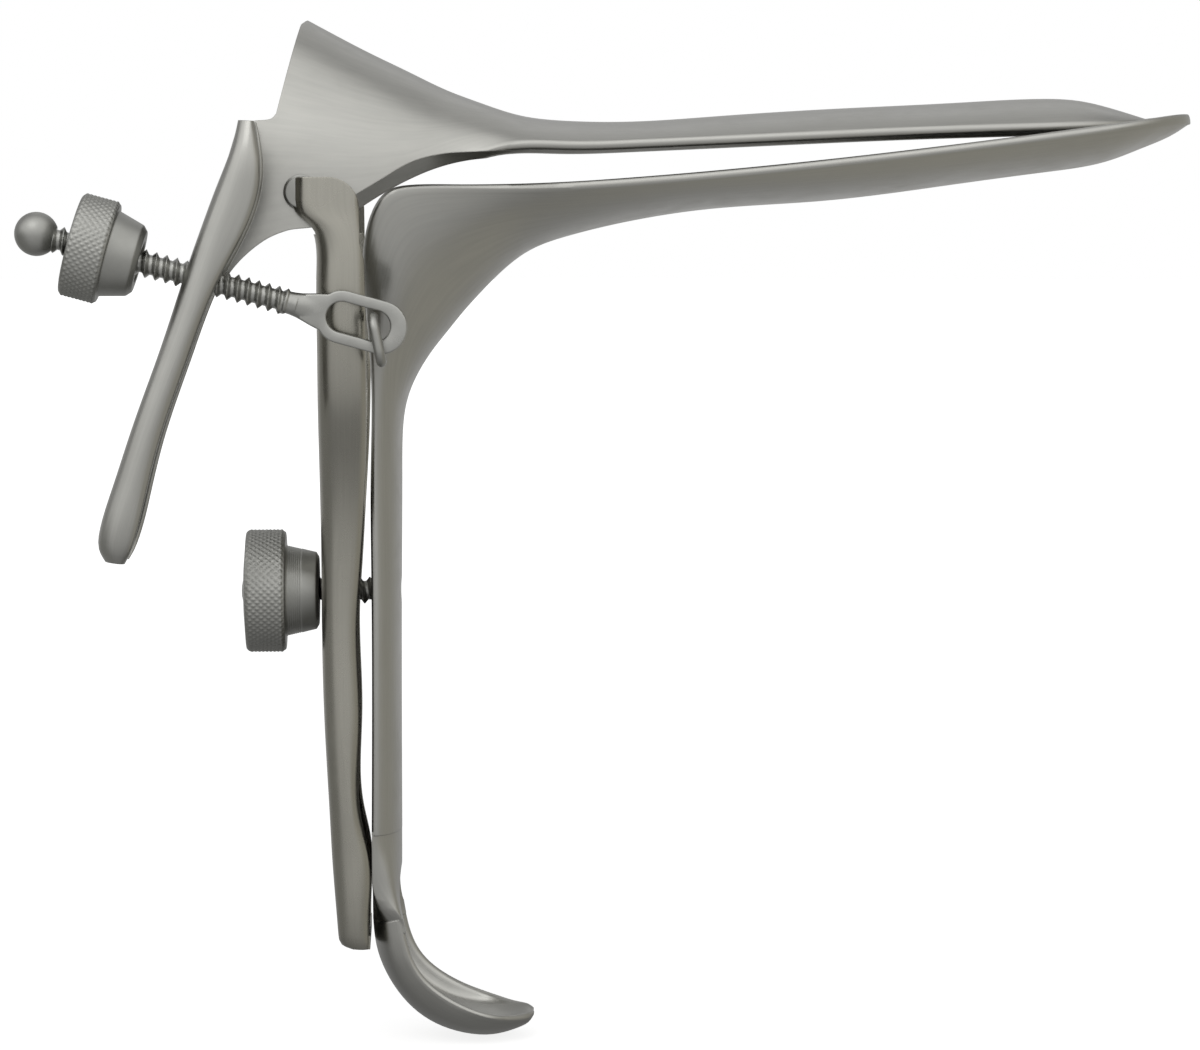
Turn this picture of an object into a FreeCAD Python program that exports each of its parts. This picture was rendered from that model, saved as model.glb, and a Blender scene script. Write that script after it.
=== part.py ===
"""Bivalve speculum: two sheet-steel blades on a forked yoke, with two thumb nuts.

Millimetres.  +X runs along the blades to their tips, +Z is up, and the thumb
lever, eyelet rod and staple are on the -Y side.  The origin is on the handle,
where a hand holds the instrument.
"""
import FreeCAD, Part
import math
import os

# Blades and handle
SHEET = 1.3
TIP_THINNING = 0.4
BLADE_REACH = 102.0
BLADE_HALF_WIDTH = 15.4
MOUTH_HALF_WIDTH = 19.0
MOUTH_TOP = 93.9
LOWER_MOUTH_HALF_WIDTH = 16.5
NESTING_GAP = 1.2
RIM_BEVEL = 0.25
SECTION_SHARES = (-1, -0.86, -0.66, -0.36, 0, 0.36, 0.66, 0.86, 1)
SLOPE_STEP = 0.004
HANDLE_HALF_WIDTH = 8.0
HANDLE_RIM_X = -1.9
HANDLE_KEEL_X = 1.9
FOOT_HALF_WIDTH = 7.7

# Pivot of the upper blade
PIVOT_X = -10.0
PIVOT_Z = 72.1
PIVOT_RADIUS = 1.2
PIVOT_HEAD_RADIUS = 2.3
PIVOT_HEAD = 0.5
PIVOT_CLEARANCE = 0.05
SIDE_GAP = 0.12
HEAD_GAP = 0.6
LOBE_RADIUS = 4.4

# Yoke
YOKE_SHEET = 1.4
YOKE_HALF_WIDTH = 9.0
YOKE_BOTTOM = -22.9
YOKE_TOP = 73.9
FORK_CROTCH_Z = 34.0
FORK_FULL_Z = 58.0
ARM_CURL = 3.0
CURL_TOP = 67.0
YOKE_CORNER = 1.9
HEEL_WALL = 1.3
EAR_LEFT_X = -10.7
EAR_RIGHT_X = -3.1
EAR_HEIGHT = 5.6
EAR_INNER_Y = MOUTH_HALF_WIDTH + PIVOT_HEAD + 2 * SIDE_GAP
ARM_OUTER_Y = EAR_INNER_Y + YOKE_SHEET

# Slide stud and its thumb nut
STUD_Z = 21.8
STUD_RADIUS = 1.75
STUD_HEAD_RADIUS = 2.9
STUD_HEAD = 0.7
STUD_END = 0.6
SEAT_GAP = 0.05
SLOT_CLEARANCE = 0.3
SLIDE_TRAVEL = 28.0
NUT_BORE_CLEARANCE = 0.05
NUT_SEAT_GAP = 0.1
HANDLE_NUT_RADIUS = 7.8
HANDLE_NUT_KNURL = 5.0
HANDLE_NUT_NECK = 4.2
HANDLE_NUT_NECK_RADIUS = 5.9
HANDLE_NUT_DOME = 0.3
NUT_CHAMFER = 0.45
NUT_FACE_X = -8.5

# Thumb lever
LEVER_NEAR_Y = -28.0
LEVER_INNER_Y = -15.6
LEVER_SLOT_LENGTH = 7.6
LEVER_SLOT_DEPTH = 10.0
LEVER_CROSSING = 23.0

# Eyelet rod, its ball and its thumb nut
ROD_Y = -22.25
ROD_RADIUS = 1.72
ROD_NECK_RADIUS = 1.35
ROD_DROP_DEG = 15.3
ROD_CLEARANCE = 0.5
BALL_RADIUS = 2.65
BALL_PLACE = 42.25
ROD_END = BALL_PLACE - 0.8 * BALL_RADIUS
LEVER_NUT_RADIUS = 6.35
LEVER_NUT_KNURL = 4.65
LEVER_NUT_CONE = 3.85
LEVER_NUT_CONE_BASE = 5.5
LEVER_NUT_CONE_TIP = 3.6
LEVER_NUT_PLACE = 38.0

# Eyelet loop and the staple that it hooks on
EYE_THICKNESS = 1.5
EYE_RIM = 1.3
EYE_HALF_HEIGHT = 3.3
EYE_TAIL = -0.5
EYE_HEAD = 4.0
TAPER_MIDDLE = 7.6
TAPER_END = 10.5
THREAD_START = 11.1
WIRE_RADIUS = 0.62
EYE_OFFSET = EYE_HALF_HEIGHT - EYE_RIM - WIRE_RADIUS
STAPLE_X = -0.85
STAPLE_Z = 57.3
STAPLE_DROP = 5.6
STAPLE_REACH_Y = -25.4
STAPLE_CORNER = 1.5

FAR = 60.0


def vec(x, y, z):
    return FreeCAD.Vector(x, y, z)


def spline(points):
    """A smooth edge through the points."""
    curve = Part.BSplineCurve()
    curve.interpolate(Points=points, Parameters=[index / (len(points) - 1) for index in range(len(points))])
    return curve.toShape()


def sheet_section(outside, inside, place):
    """Closed edge of one bent sheet: its two faces joined by rims with bevelled corners.

    outside and inside are runs of edges given as point lists, from left to right.
    """
    edges = [as_edge([place(point) for point in run]) for run in outside]
    edges += rim_edges(outside[-1][-1], inside[-1][-1], place)
    edges += [as_edge([place(point) for point in reversed(run)]) for run in reversed(inside)]
    edges += rim_edges(inside[0][0], outside[0][0], place)
    return Part.Wire(edges)


def as_edge(points):
    """A line through two points, an arc through three, or a smooth edge through more."""
    if len(points) == 2:
        return Part.makeLine(points[0], points[1])
    if len(points) == 3:
        return Part.Arc(*points).toShape()
    return spline(points)


def rim_edges(start, end, place):
    """A sheet's rim: a flat with two bevels, standing out from the sheet by RIM_BEVEL of its thickness."""
    across = (end[0] - start[0], end[1] - start[1])
    beyond = (-across[1] * RIM_BEVEL, across[0] * RIM_BEVEL)
    first = (start[0] + across[0] * RIM_BEVEL + beyond[0], start[1] + across[1] * RIM_BEVEL + beyond[1])
    last = (end[0] - across[0] * RIM_BEVEL + beyond[0], end[1] - across[1] * RIM_BEVEL + beyond[1])
    corners = [place(point) for point in (start, first, last, end)]
    return [Part.makeLine(a, b) for a, b in zip(corners, corners[1:])]


def bent_section(rim, keel, half_width, opening, fullness, sheet):
    """Section of a blade: a round U between two rims, with its keel on the outside.

    rim and keel are (x, z) pairs.  opening is the half angle of the bend in
    degrees, and a fullness under 1 squares the shoulders of the U.  The sheet
    thins where the blade narrows to its tip.
    """
    sheet = min(sheet, TIP_THINNING * half_width)
    depth, place = section_plane(rim, keel, 0.0)
    limit = math.radians(opening)
    rim_height = 0.0

    def outer(share):
        angle = limit * share
        side = half_width * math.sin(angle) / math.sin(limit)
        rise = max(0.0, (math.cos(angle) - math.cos(limit)) / (1 - math.cos(limit)))
        return side, rim_height + (depth - rim_height) * rise ** fullness

    def slope(share):
        low = outer(max(-1.0, share - SLOPE_STEP))
        high = outer(min(1.0, share + SLOPE_STEP))
        length = math.hypot(high[0] - low[0], high[1] - low[1])
        return (high[0] - low[0]) / length, (high[1] - low[1]) / length

    def inner(share):
        side, reach = outer(share)
        run, rise = slope(share)
        return side + sheet * rise, reach - sheet * run

    lean, climb = slope(-1)
    rim_height = sheet * (lean * (1 - RIM_BEVEL) + climb * RIM_BEVEL)
    return sheet_section([[outer(share) for share in SECTION_SHARES]],
                         [[inner(share) for share in SECTION_SHARES]], place)


def section_plane(rim, keel, centre_y):
    """The depth of a section, and a function that puts its (side, reach) points in space."""
    run_x = keel[0] - rim[0]
    run_z = keel[1] - rim[1]
    depth = math.hypot(run_x, run_z)

    def place(point):
        side, reach = point
        return vec(rim[0] + run_x * reach / depth, centre_y + side, rim[1] + run_z * reach / depth)

    return depth, place


def channel_section(rim, keel, low_y, high_y, corner, sheet):
    """Section of a channel: a flat web at the keel, two round corners and two straight legs."""
    depth, place = section_plane(rim, keel, (low_y + high_y) / 2)
    half = (high_y - low_y) / 2
    rim_height = sheet * RIM_BEVEL

    def runs(inset):
        radius = corner - inset
        side = half - inset
        web = depth - inset
        turn = radius * (1 - math.sqrt(0.5))
        return [
            [(-side, rim_height), (-side, web - radius)],
            [(-side, web - radius), (-side + turn, web - turn), (-side + radius, web)],
            [(-side + radius, web), (side - radius, web)],
            [(side - radius, web), (side - turn, web - turn), (side, web - radius)],
            [(side, web - radius), (side, rim_height)],
        ]

    return sheet_section(runs(0), runs(sheet), place)


def blade_sheet(rows):
    """A blade through rows of rim x, rim z, keel x, keel z, half width, opening and fullness."""
    sections = [bent_section(row[:2], row[2:4], *row[4:], SHEET) for row in rows]
    return Part.makeLoft(sections, True, True)


def channel_sheet(rows, sheet):
    """A channel through rows of rim x, rim z, keel x, keel z, low y, high y and corner radius."""
    sections = [channel_section(row[:2], row[2:4], *row[4:], sheet) for row in rows]
    return Part.makeLoft(sections, True, True)


def side_profile(runs, low_y, high_y):
    """A slab across Y whose outline in the XZ plane is a chain of runs; see as_edge."""
    edges = [as_edge([vec(x, low_y, z) for x, z in run]) for run in runs]
    return Part.Face(Part.Wire(edges)).extrude(vec(0, high_y - low_y, 0))


def chain(*runs):
    """Runs that follow each other, each starting at the last point of the one before, and closing."""
    joined = []
    for run in runs:
        start = joined[-1][-1:] if joined else []
        joined.append(start + list(run))
    joined.append([joined[-1][-1], joined[0][0]])
    return joined


def rod_point(along, across=0.0, y=ROD_Y):
    """A place on the eyelet rod: along it from the hinge, across it upwards."""
    tilt = math.radians(ROD_DROP_DEG)
    x = STAPLE_X - along * math.cos(tilt) + across * math.sin(tilt)
    z = STAPLE_Z - EYE_OFFSET + along * math.sin(tilt) + across * math.cos(tilt)
    return vec(x, y, z)


def turned(profile, origin, direction):
    """A body of revolution from (along, radius) pairs about an axis."""
    points = [vec(0, radius, along) for along, radius in profile]
    face = Part.Face(Part.makePolygon(points + points[:1]))
    body = face.revolve(vec(0, 0, 0), vec(0, 0, 1), 360)
    body.Placement = FreeCAD.Placement(origin, FreeCAD.Rotation(vec(0, 0, 1), direction))
    return body


def one_solid(shape):
    """The only solid of a boolean result."""
    shape = shape.removeSplitter()
    solids = sorted(shape.Solids, key=lambda solid: -solid.Volume)
    return solids[0]


def lower_blade():
    """Blade, mouth, handle and foot, bent from one sheet."""
    half = BLADE_HALF_WIDTH
    rim_x = HANDLE_RIM_X
    keel_x = HANDLE_KEEL_X
    reach = BLADE_REACH
    mouth = LOWER_MOUTH_HALF_WIDTH
    stations = [
        (reach - 0.25, 81.75, reach - 0.1, 81.3, 1.4, 60, 1.0),
        (reach - 1.1, 81.85, reach - 0.9, 80.45, 4.7, 60, 1.0),
        (reach - 3.2, 81.75, reach - 3.0, 79.1, 8.6, 60, 1.0),
        (reach - 6.6, 81.3, reach - 6.6, 77.6, 12.2, 60, 1.0),
        (reach - 11, 80.7, reach - 11, 76.0, 14.8, 60, 1.0),
        (reach - 18, 79.75, reach - 18, 74.8, 16.0, 60, 1.0),
        (72, 78.2, 72, 73.2, half + 0.5, 60, 1.0),
        (55, 76.2, 55, 71.1, half, 60, 1.0),
        (40, 74.7, 40, 70.0, half - 0.2, 60, 1.0),
        (29.5, 73.85, 30, 68.4, half, 62, 1.0),
        (20.5, 73.3, 23.0, 66.7, half + 0.3, 66, 1.0),
        (13.5, 73.1, 18.2, 64.9, half + 0.6, 72, 1.0),
        (7.6, 73.1, 14.7, 62.3, mouth - 0.2, 78, 0.97),
        (3.0, 73.0, 11.9, 59.5, mouth, 82, 0.95),
        (0.4, 72.3, 9.9, 57.3, mouth, 84, 0.95),
        (-1.3, 70.3, 8.1, 55.1, mouth - 0.4, 86, 0.95),
        (-1.8, 66.8, 6.1, 52.6, mouth - 1.4, 86, 0.95),
        (-1.8, 58.4, 3.5, 48.3, mouth - 4.4, 84, 0.95),
        (-1.8, 48.5, 2.2, 43.4, HANDLE_HALF_WIDTH + 1.5, 82, 0.97),
        (rim_x, 38.5, keel_x + 0.1, 36.5, HANDLE_HALF_WIDTH + 0.3, 80, 1.0),
        (rim_x, 25, keel_x, 25, HANDLE_HALF_WIDTH, 80, 1.0),
        (rim_x - 0.1, -9, keel_x - 0.1, -9, HANDLE_HALF_WIDTH, 80, 1.0),
        (rim_x - 0.1, -13, keel_x - 0.2, -13, HANDLE_HALF_WIDTH - 0.1, 80, 1.0),
        (rim_x - 0.1, -16, keel_x - 0.7, -16, FOOT_HALF_WIDTH + 0.1, 80, 1.0),
        (rim_x - 0.05, -18.5, keel_x - 1.2, -18.5, FOOT_HALF_WIDTH, 76, 1.0),
    ]
    foot = [
        (1.45, -12.0, 0.5, -12.0, 2.6, 60, 1.0),
        (1.55, -14.0, -0.3, -14.3, 4.6, 64, 1.0),
        (1.65, -16.4, -1.3, -16.9, 6.5, 72, 1.0),
        (1.85, -19.2, -2.0, -20.0, FOOT_HALF_WIDTH - 0.2, 80, 1.0),
        (2.65, -23.0, -1.45, -24.3, FOOT_HALF_WIDTH, 80, 1.0),
        (5.3, -27.5, 2.3, -31.0, FOOT_HALF_WIDTH, 80, 1.0),
        (9.6, -30.3, 7.5, -34.4, FOOT_HALF_WIDTH + 0.1, 78, 1.0),
        (13.2, -31.6, 12.4, -35.3, FOOT_HALF_WIDTH - 0.5, 74, 1.0),
        (16.2, -32.2, 16.0, -34.7, FOOT_HALF_WIDTH - 2.7, 66, 1.0),
        (17.9, -32.4, 17.8, -33.9, FOOT_HALF_WIDTH - 4.7, 62, 1.0),
        (18.6, -32.5, 18.5, -33.1, 1.2, 60, 1.0),
    ]
    body = blade_sheet(stations).fuse(blade_sheet(foot))
    stud_hole = Part.makeCylinder(STUD_RADIUS, FAR, vec(-FAR / 2, 0, STUD_Z), vec(1, 0, 0))
    return one_solid(body.cut(stud_hole))


def handle_stud():
    """Threaded stud riveted through the handle web, seen here at its thread's outer size."""
    web_out = HANDLE_KEEL_X
    end = NUT_FACE_X - HANDLE_NUT_NECK - HANDLE_NUT_KNURL - STUD_END
    shaft = Part.makeCylinder(STUD_RADIUS, web_out - end, vec(end, 0, STUD_Z), vec(1, 0, 0))
    shaft = shaft.makeChamfer(0.35, [shaft.Edges[index] for index in (0, 2)])
    web_in = web_out - SHEET
    collar_x = web_in - STUD_HEAD - SEAT_GAP
    collar = Part.makeCylinder(STUD_HEAD_RADIUS, STUD_HEAD, vec(collar_x, 0, STUD_Z), vec(1, 0, 0))
    return one_solid(shaft.fuse(collar))


def yoke_rows():
    """Rows for the yoke's channel section, from its heel to the ears."""
    half = YOKE_HALF_WIDTH
    arm = ARM_OUTER_Y
    rows = [
        (-2.25, YOKE_BOTTOM, -4.9, YOKE_BOTTOM, half - 0.6),
        (-2.25, YOKE_BOTTOM + 0.5, -5.9, YOKE_BOTTOM + 0.5, half - 0.2),
        (-2.25, YOKE_BOTTOM + 1.8, -6.3, YOKE_BOTTOM + 1.8, half),
        (-2.25, -11, -7.05, -11, half),
        (-3.0, -7, -7.25, -7, half),
        (-3.25, 6, -7.9, 6, half),
        (-3.5, 18.5, -8.15, 18.5, half),
        (-3.15, 25, -8.15, 25, half + 0.4),
        (-2.75, 32, -8.2, 32, half + 1.6),
        (-2.35, 40, -8.25, 40, half + 5.4),
        (-2.2, 47, -8.25, 47, arm - 2.2),
        (-2.2, 54, -8.25, 54, arm - 0.5),
        (-2.3, 63, -8.25, 63, arm),
        (-2.7, YOKE_TOP, -8.25, YOKE_TOP, arm),
    ]
    return [row[:4] + (-row[4], row[4], YOKE_CORNER) for row in rows]


def ear(side):
    """Flat ear at the top of one arm, wider than the arm and rounded at its top."""
    low = YOKE_TOP - EAR_HEIGHT
    y = side * EAR_INNER_Y
    corner = 3.6
    left = EAR_LEFT_X
    right = EAR_RIGHT_X
    edges = [
        Part.LineSegment(vec(right, y, low), vec(right, y, YOKE_TOP - corner)).toShape(),
        Part.Arc(vec(right, y, YOKE_TOP - corner),
                 vec(right - corner * (1 - math.sqrt(0.5)), y, YOKE_TOP - corner * (1 - math.sqrt(0.5))),
                 vec(right - corner, y, YOKE_TOP)).toShape(),
        Part.LineSegment(vec(right - corner, y, YOKE_TOP), vec(left + 0.8, y, YOKE_TOP)).toShape(),
        Part.LineSegment(vec(left + 0.8, y, YOKE_TOP), vec(left, y, YOKE_TOP - 0.8)).toShape(),
        Part.LineSegment(vec(left, y, YOKE_TOP - 0.8), vec(left, y, low + 0.9)).toShape(),
        Part.Arc(vec(left, y, low + 0.9), vec(left + 0.75, y, low + 0.1),
                 vec(left + 2.4, y, low - 0.6)).toShape(),
        Part.LineSegment(vec(left + 2.4, y, low - 0.6), vec(right, y, low)).toShape(),
    ]
    return Part.Face(Part.Wire(edges)).extrude(vec(0, side * YOKE_SHEET, 0))


def yoke():
    """Forked frame: a channel below, two arms above, and a slot for the stud."""
    body = channel_sheet(yoke_rows(), YOKE_SHEET)
    window_top = YOKE_TOP + 5
    inner = ARM_OUTER_Y - ARM_CURL
    narrow = YOKE_HALF_WIDTH - ARM_CURL
    outline = [
        vec(0, -2.4, FORK_CROTCH_Z + 0.7), vec(0, -narrow + 0.6, FORK_CROTCH_Z + 3.2),
        vec(0, -narrow - 5.3, 44), vec(0, -inner + 1.5, 51), vec(0, -inner, FORK_FULL_Z),
    ]
    left = spline([vec(0, 0, FORK_CROTCH_Z)] + outline)
    right = spline([vec(0, 0, FORK_CROTCH_Z)] + [vec(0, -p.y, p.z) for p in outline])
    top = Part.makePolygon([vec(0, -inner, FORK_FULL_Z), vec(0, -inner, window_top),
                            vec(0, inner, window_top), vec(0, inner, FORK_FULL_Z)])
    window = Part.Face(Part.Wire(Part.__sortEdges__([left, right] + top.Edges)))
    window.translate(vec(-FAR / 2, 0, 0))
    body = body.cut(window.extrude(vec(FAR, 0, 0)))
    ear_low = YOKE_TOP - EAR_HEIGHT + 0.2
    above_ear = Part.makeBox(FAR, FAR, FAR, vec(-FAR / 2, -FAR / 2, ear_low))
    body = body.cut(above_ear)
    curl_top = Part.makeBox(FAR, 2 * EAR_INNER_Y, FAR, vec(-FAR / 2, -EAR_INNER_Y, CURL_TOP))
    body = body.cut(curl_top)
    body = body.fuse([ear(-1), ear(1), yoke_heel()])
    low = STUD_Z - SLIDE_TRAVEL
    wide = STUD_RADIUS + SLOT_CLEARANCE
    slot = Part.makeBox(FAR, 2 * wide, SLIDE_TRAVEL, vec(-FAR, -wide, low))
    slot = slot.fuse([Part.makeCylinder(wide, FAR, vec(-FAR, 0, z), vec(1, 0, 0)) for z in (low, STUD_Z)])
    body = body.cut(slot)
    bore = PIVOT_RADIUS + PIVOT_CLEARANCE
    body = body.cut(Part.makeCylinder(bore, FAR, vec(PIVOT_X, -FAR / 2, PIVOT_Z), vec(0, 1, 0)))
    return one_solid(body)


def yoke_heel():
    """The channel's end wall, which closes it at the bottom."""
    wires = []
    for row, height in zip(yoke_rows()[:3], (0, 0.5, HEEL_WALL)):
        half = row[5] - YOKE_SHEET / 2
        left = row[2] + YOKE_SHEET / 2
        points = [(row[0], -half), (left + 1, -half), (left, 1 - half),
                  (left, half - 1), (left + 1, half), (row[0], half)]
        corners = [vec(x, y, YOKE_BOTTOM + height) for x, y in points]
        wires.append(Part.makePolygon(corners + corners[:1]))
    return Part.makeLoft(wires, True, True)


def pivot(side):
    """Trunnion through an ear and the blade wall, with a flange between and a head inside."""
    y = side * (MOUTH_HALF_WIDTH + SIDE_GAP)
    out = vec(0, side, 0)
    flange = Part.makeCylinder(PIVOT_HEAD_RADIUS, PIVOT_HEAD, vec(PIVOT_X, y, PIVOT_Z), out)
    inner = side * (MOUTH_HALF_WIDTH - SHEET - HEAD_GAP)
    shaft = Part.makeCylinder(PIVOT_RADIUS, ARM_OUTER_Y - side * inner, vec(PIVOT_X, inner, PIVOT_Z), out)
    head = Part.makeCylinder(PIVOT_HEAD_RADIUS, PIVOT_HEAD, vec(PIVOT_X, inner, PIVOT_Z), vec(0, -side, 0))
    return one_solid(flange.fuse([shaft, head]))


def upper_blade():
    """Blade, deep mouth, side plate and thumb lever, bent from one sheet."""
    mouth = MOUTH_HALF_WIDTH
    half = BLADE_HALF_WIDTH - NESTING_GAP
    top = MOUTH_TOP
    stations = [
        (-25.5, 65.6, -17.5, top + 3.9, mouth, 88, 0.62),
        (-16.4, 66.2, -10.0, top, mouth, 88, 0.62),
        (-7.5, 67, -2.6, top - 3.9, mouth - 0.1, 88, 0.64),
        (0.5, 70, 3.2, top - 6.7, mouth - 0.8, 84, 0.7),
        (6.2, 74.4, 7.8, 85.0, mouth - 2.3, 76, 0.8),
        (11.8, 77.0, 12.2, 83.35, mouth - 3.7, 68, 0.9),
        (17, 77.35, 17, 81.85, half + 0.3, 62, 1.0),
        (22.5, 77.3, 22.5, 81.2, half, 60, 1.0),
        (31, 77.5, 31, 81.1, half - 0.2, 60, 1.0),
        (42, 78.0, 42, 81.8, half - 0.2, 60, 1.0),
        (57, 78.7, 57, 82.75, half, 60, 1.0),
        (72, 79.3, 72, 83.5, half - 0.1, 60, 1.0),
        (82, 79.6, 82, 84.0, half - 0.6, 60, 1.0),
        (87.5, 79.8, 87.5, 83.8, half - 1.9, 60, 1.0),
        (91.5, 79.95, 91.5, 82.9, half - 4.1, 60, 1.0),
        (94.7, 80.1, 94.7, 81.9, half - 7.2, 60, 1.0),
        (96.4, 80.2, 96.4, 81.2, half - 10.4, 60, 1.0),
        (96.9, 80.3, 96.9, 80.75, 1.3, 60, 1.0),
    ]
    body = blade_sheet(stations)
    keep = side_profile(BLADE_SIDE, -FAR / 2, FAR / 2)
    body = body.common(keep)
    far_side = side_profile(PLATE_SIDE, -mouth / 2, FAR / 2)
    body = body.cut(far_side)
    body = one_solid(body).fuse(thumb_lever())
    body = body.cut(lever_slot())
    bore = PIVOT_RADIUS + PIVOT_CLEARANCE
    body = body.cut(Part.makeCylinder(bore, FAR, vec(PIVOT_X, -FAR / 2, PIVOT_Z), vec(0, 1, 0)))
    return one_solid(body)


def lobe(angle_deg):
    """A point at the edge of the blade's side wall, round the pivot."""
    angle = math.radians(angle_deg)
    return PIVOT_X + LOBE_RADIUS * math.cos(angle), PIVOT_Z + LOBE_RADIUS * math.sin(angle)


# Outline that keeps the blade, its mouth and the plate, from the mouth's top round below
BLADE_SIDE = chain(
    [(-8.95, 98), (-10.25, 93.1)],
    [(-13.05, 81.6)],
    [(-13.8, 80.95), (-15.7, 80.75), (-17.6, 80.4)],
    [(-21.0, 69)],
    [(-23.3, 62.0)],
    [(-20.3, 60.2)],
    [(-17.6, 63.7), (-14.6, 66.2), (-11.9, 67.4), lobe(-90)],
    [lobe(-57), lobe(-25)],
    [(-0.9, 73.3), (3.2, 75.7), (7.0, 76.75), (11, 76.8)],
    [(16, 76)],
    [(110, 76)],
    [(110, 98)],
)

# The plate beyond the mouth, which only the lever's side has
PLATE_SIDE = chain(
    [(-12.8, 83.6), (-14.2, 77.6), lobe(180)],
    [lobe(220), lobe(262)],
    [(-10.6, 60)],
    [(-35, 55)],
    [(-35, 86)],
)


def thumb_lever():
    """Channel-shaped thumb lever that hangs from the plate."""
    near = LEVER_NEAR_Y
    wall = -(MOUTH_HALF_WIDTH - SHEET)
    inner = LEVER_INNER_Y
    stations = [
        (-14.5, 80.1, -16.6, 80.4, near + 1.6, wall, 1.5),
        (-14.8, 77.6, -17.7, 77.7, near + 0.7, wall, 1.9),
        (-15.3, 72.4, -19.6, 72.6, near, wall, 2.2),
        (-17.2, 67.2, -21.4, 68.2, near, wall, 2.2),
        (-19.8, 61.4, -23.6, 62.4, near, wall, 2.2),
        (-23.5, 51.7, -26.8, 53.0, near, (wall + inner) / 2, 2.2),
        (-26.65, 42.6, -30.1, 44.1, near, inner, 2.2),
        (-28.5, 35.6, -32.6, 36.7, near, inner, 2.2),
        (-29.7, 31.0, -34.1, 31.9, near + 0.1, inner - 0.1, 2.2),
        (-30.5, 28.7, -34.3, 29.4, near + 0.7, inner - 0.7, 2.0),
        (-31.1, 27.5, -33.6, 27.8, near + 1.8, inner - 1.8, 1.7),
    ]
    return channel_sheet(stations, SHEET)


def lever_slot():
    """Slot in the lever's web that the eyelet rod passes through, longer than the rod is wide."""
    wide = ROD_RADIUS + ROD_CLEARANCE
    reach = LEVER_SLOT_LENGTH / 2 - wide
    tilt = math.radians(ROD_DROP_DEG)
    lift = vec(math.sin(tilt), 0, math.cos(tilt))
    start = rod_point(LEVER_CROSSING - LEVER_SLOT_DEPTH / 2)
    ends = [Part.makeCylinder(wide, LEVER_SLOT_DEPTH, start + lift * (sign * reach), rod_axis())
            for sign in (-1, 1)]
    corners = [start + lift * (a * reach) + vec(0, b * wide, 0)
               for a, b in ((-1, -1), (1, -1), (1, 1), (-1, 1))]
    middle = Part.Face(Part.makePolygon(corners + corners[:1])).extrude(rod_axis() * LEVER_SLOT_DEPTH)
    return middle.fuse(ends)


def eyelet_rod():
    """Threaded rod with a flattened eye at its end."""
    inner = EYE_HALF_HEIGHT - EYE_RIM
    plate = eye_plate(EYE_HALF_HEIGHT, EYE_THICKNESS).fuse(eye_taper())
    hole = eye_plate(inner, 3 * EYE_THICKNESS)
    axis = rod_axis()
    neck_length = THREAD_START - TAPER_MIDDLE
    neck = Part.makeCylinder(ROD_NECK_RADIUS, neck_length, rod_point(TAPER_MIDDLE), axis)
    shaft = Part.makeCylinder(ROD_RADIUS, ROD_END - THREAD_START, rod_point(THREAD_START), axis)
    shaft = shaft.makeChamfer(0.35, [shaft.Edges[0]])
    return one_solid(plate.cut(hole).fuse([neck, shaft]))


def rod_axis():
    tilt = math.radians(ROD_DROP_DEG)
    return vec(-math.cos(tilt), 0, math.sin(tilt))


def eye_plate(half, thickness):
    """A slab with two round ends, along the rod and centred on its depth."""
    y = ROD_Y - thickness / 2
    ends = [Part.makeCylinder(half, thickness, rod_point(place, 0, y), vec(0, 1, 0))
            for place in (EYE_TAIL, EYE_HEAD)]
    return eye_slab([(EYE_TAIL, half), (EYE_HEAD, half)], thickness).fuse(ends)


def eye_slab(profile, thickness):
    """A slab along the rod from (along, half height) pairs."""
    y = ROD_Y - thickness / 2
    corners = [rod_point(along, half, y) for along, half in profile]
    corners += [rod_point(along, -half, y) for along, half in reversed(profile)]
    return Part.Face(Part.makePolygon(corners + corners[:1])).extrude(vec(0, thickness, 0))


def eye_taper():
    """The flattened stretch that narrows from the eye to the round rod."""
    start = EYE_HEAD + EYE_HALF_HEIGHT - 1.2
    return eye_slab([(start, 2.9), (TAPER_MIDDLE, 2.35), (TAPER_END, 1.5)], EYE_THICKNESS)


def rod_ball():
    """Ball screwed on the rod's end, which keeps the nut on."""
    return Part.makeSphere(BALL_RADIUS, rod_point(BALL_PLACE))


def lever_nut():
    """Knurled nut with a cone that bears on the lever."""
    bore = ROD_RADIUS + NUT_BORE_CLEARANCE
    radius = LEVER_NUT_RADIUS
    knurl = LEVER_NUT_KNURL
    tip = LEVER_NUT_KNURL + LEVER_NUT_CONE
    profile = [
        (0, bore), (0, radius - NUT_CHAMFER), (NUT_CHAMFER, radius),
        (knurl - NUT_CHAMFER, radius), (knurl, radius - NUT_CHAMFER), (knurl, LEVER_NUT_CONE_BASE),
        (tip - 0.4, LEVER_NUT_CONE_TIP + 0.2), (tip, LEVER_NUT_CONE_TIP - 0.3), (tip, bore),
    ]
    return turned(profile, rod_point(LEVER_NUT_PLACE), rod_axis() * -1)


def handle_nut():
    """Knurled nut with a domed face, which clamps the yoke to the handle."""
    bore = STUD_RADIUS + NUT_BORE_CLEARANCE
    neck = HANDLE_NUT_NECK
    end = neck + HANDLE_NUT_KNURL
    radius = HANDLE_NUT_RADIUS
    seat = HANDLE_NUT_NECK_RADIUS
    profile = [
        (0, bore), (0, seat - 1.2), (0.35, seat - 0.5), (1.3, seat - 0.4), (neck, seat),
        (neck, radius - NUT_CHAMFER), (neck + NUT_CHAMFER, radius), (end - NUT_CHAMFER, radius),
        (end, radius - NUT_CHAMFER), (end + HANDLE_NUT_DOME, radius / 2), (end + HANDLE_NUT_DOME, bore),
    ]
    return turned(profile, vec(NUT_FACE_X - NUT_SEAT_GAP, 0, STUD_Z), vec(-1, 0, 0))


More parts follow.
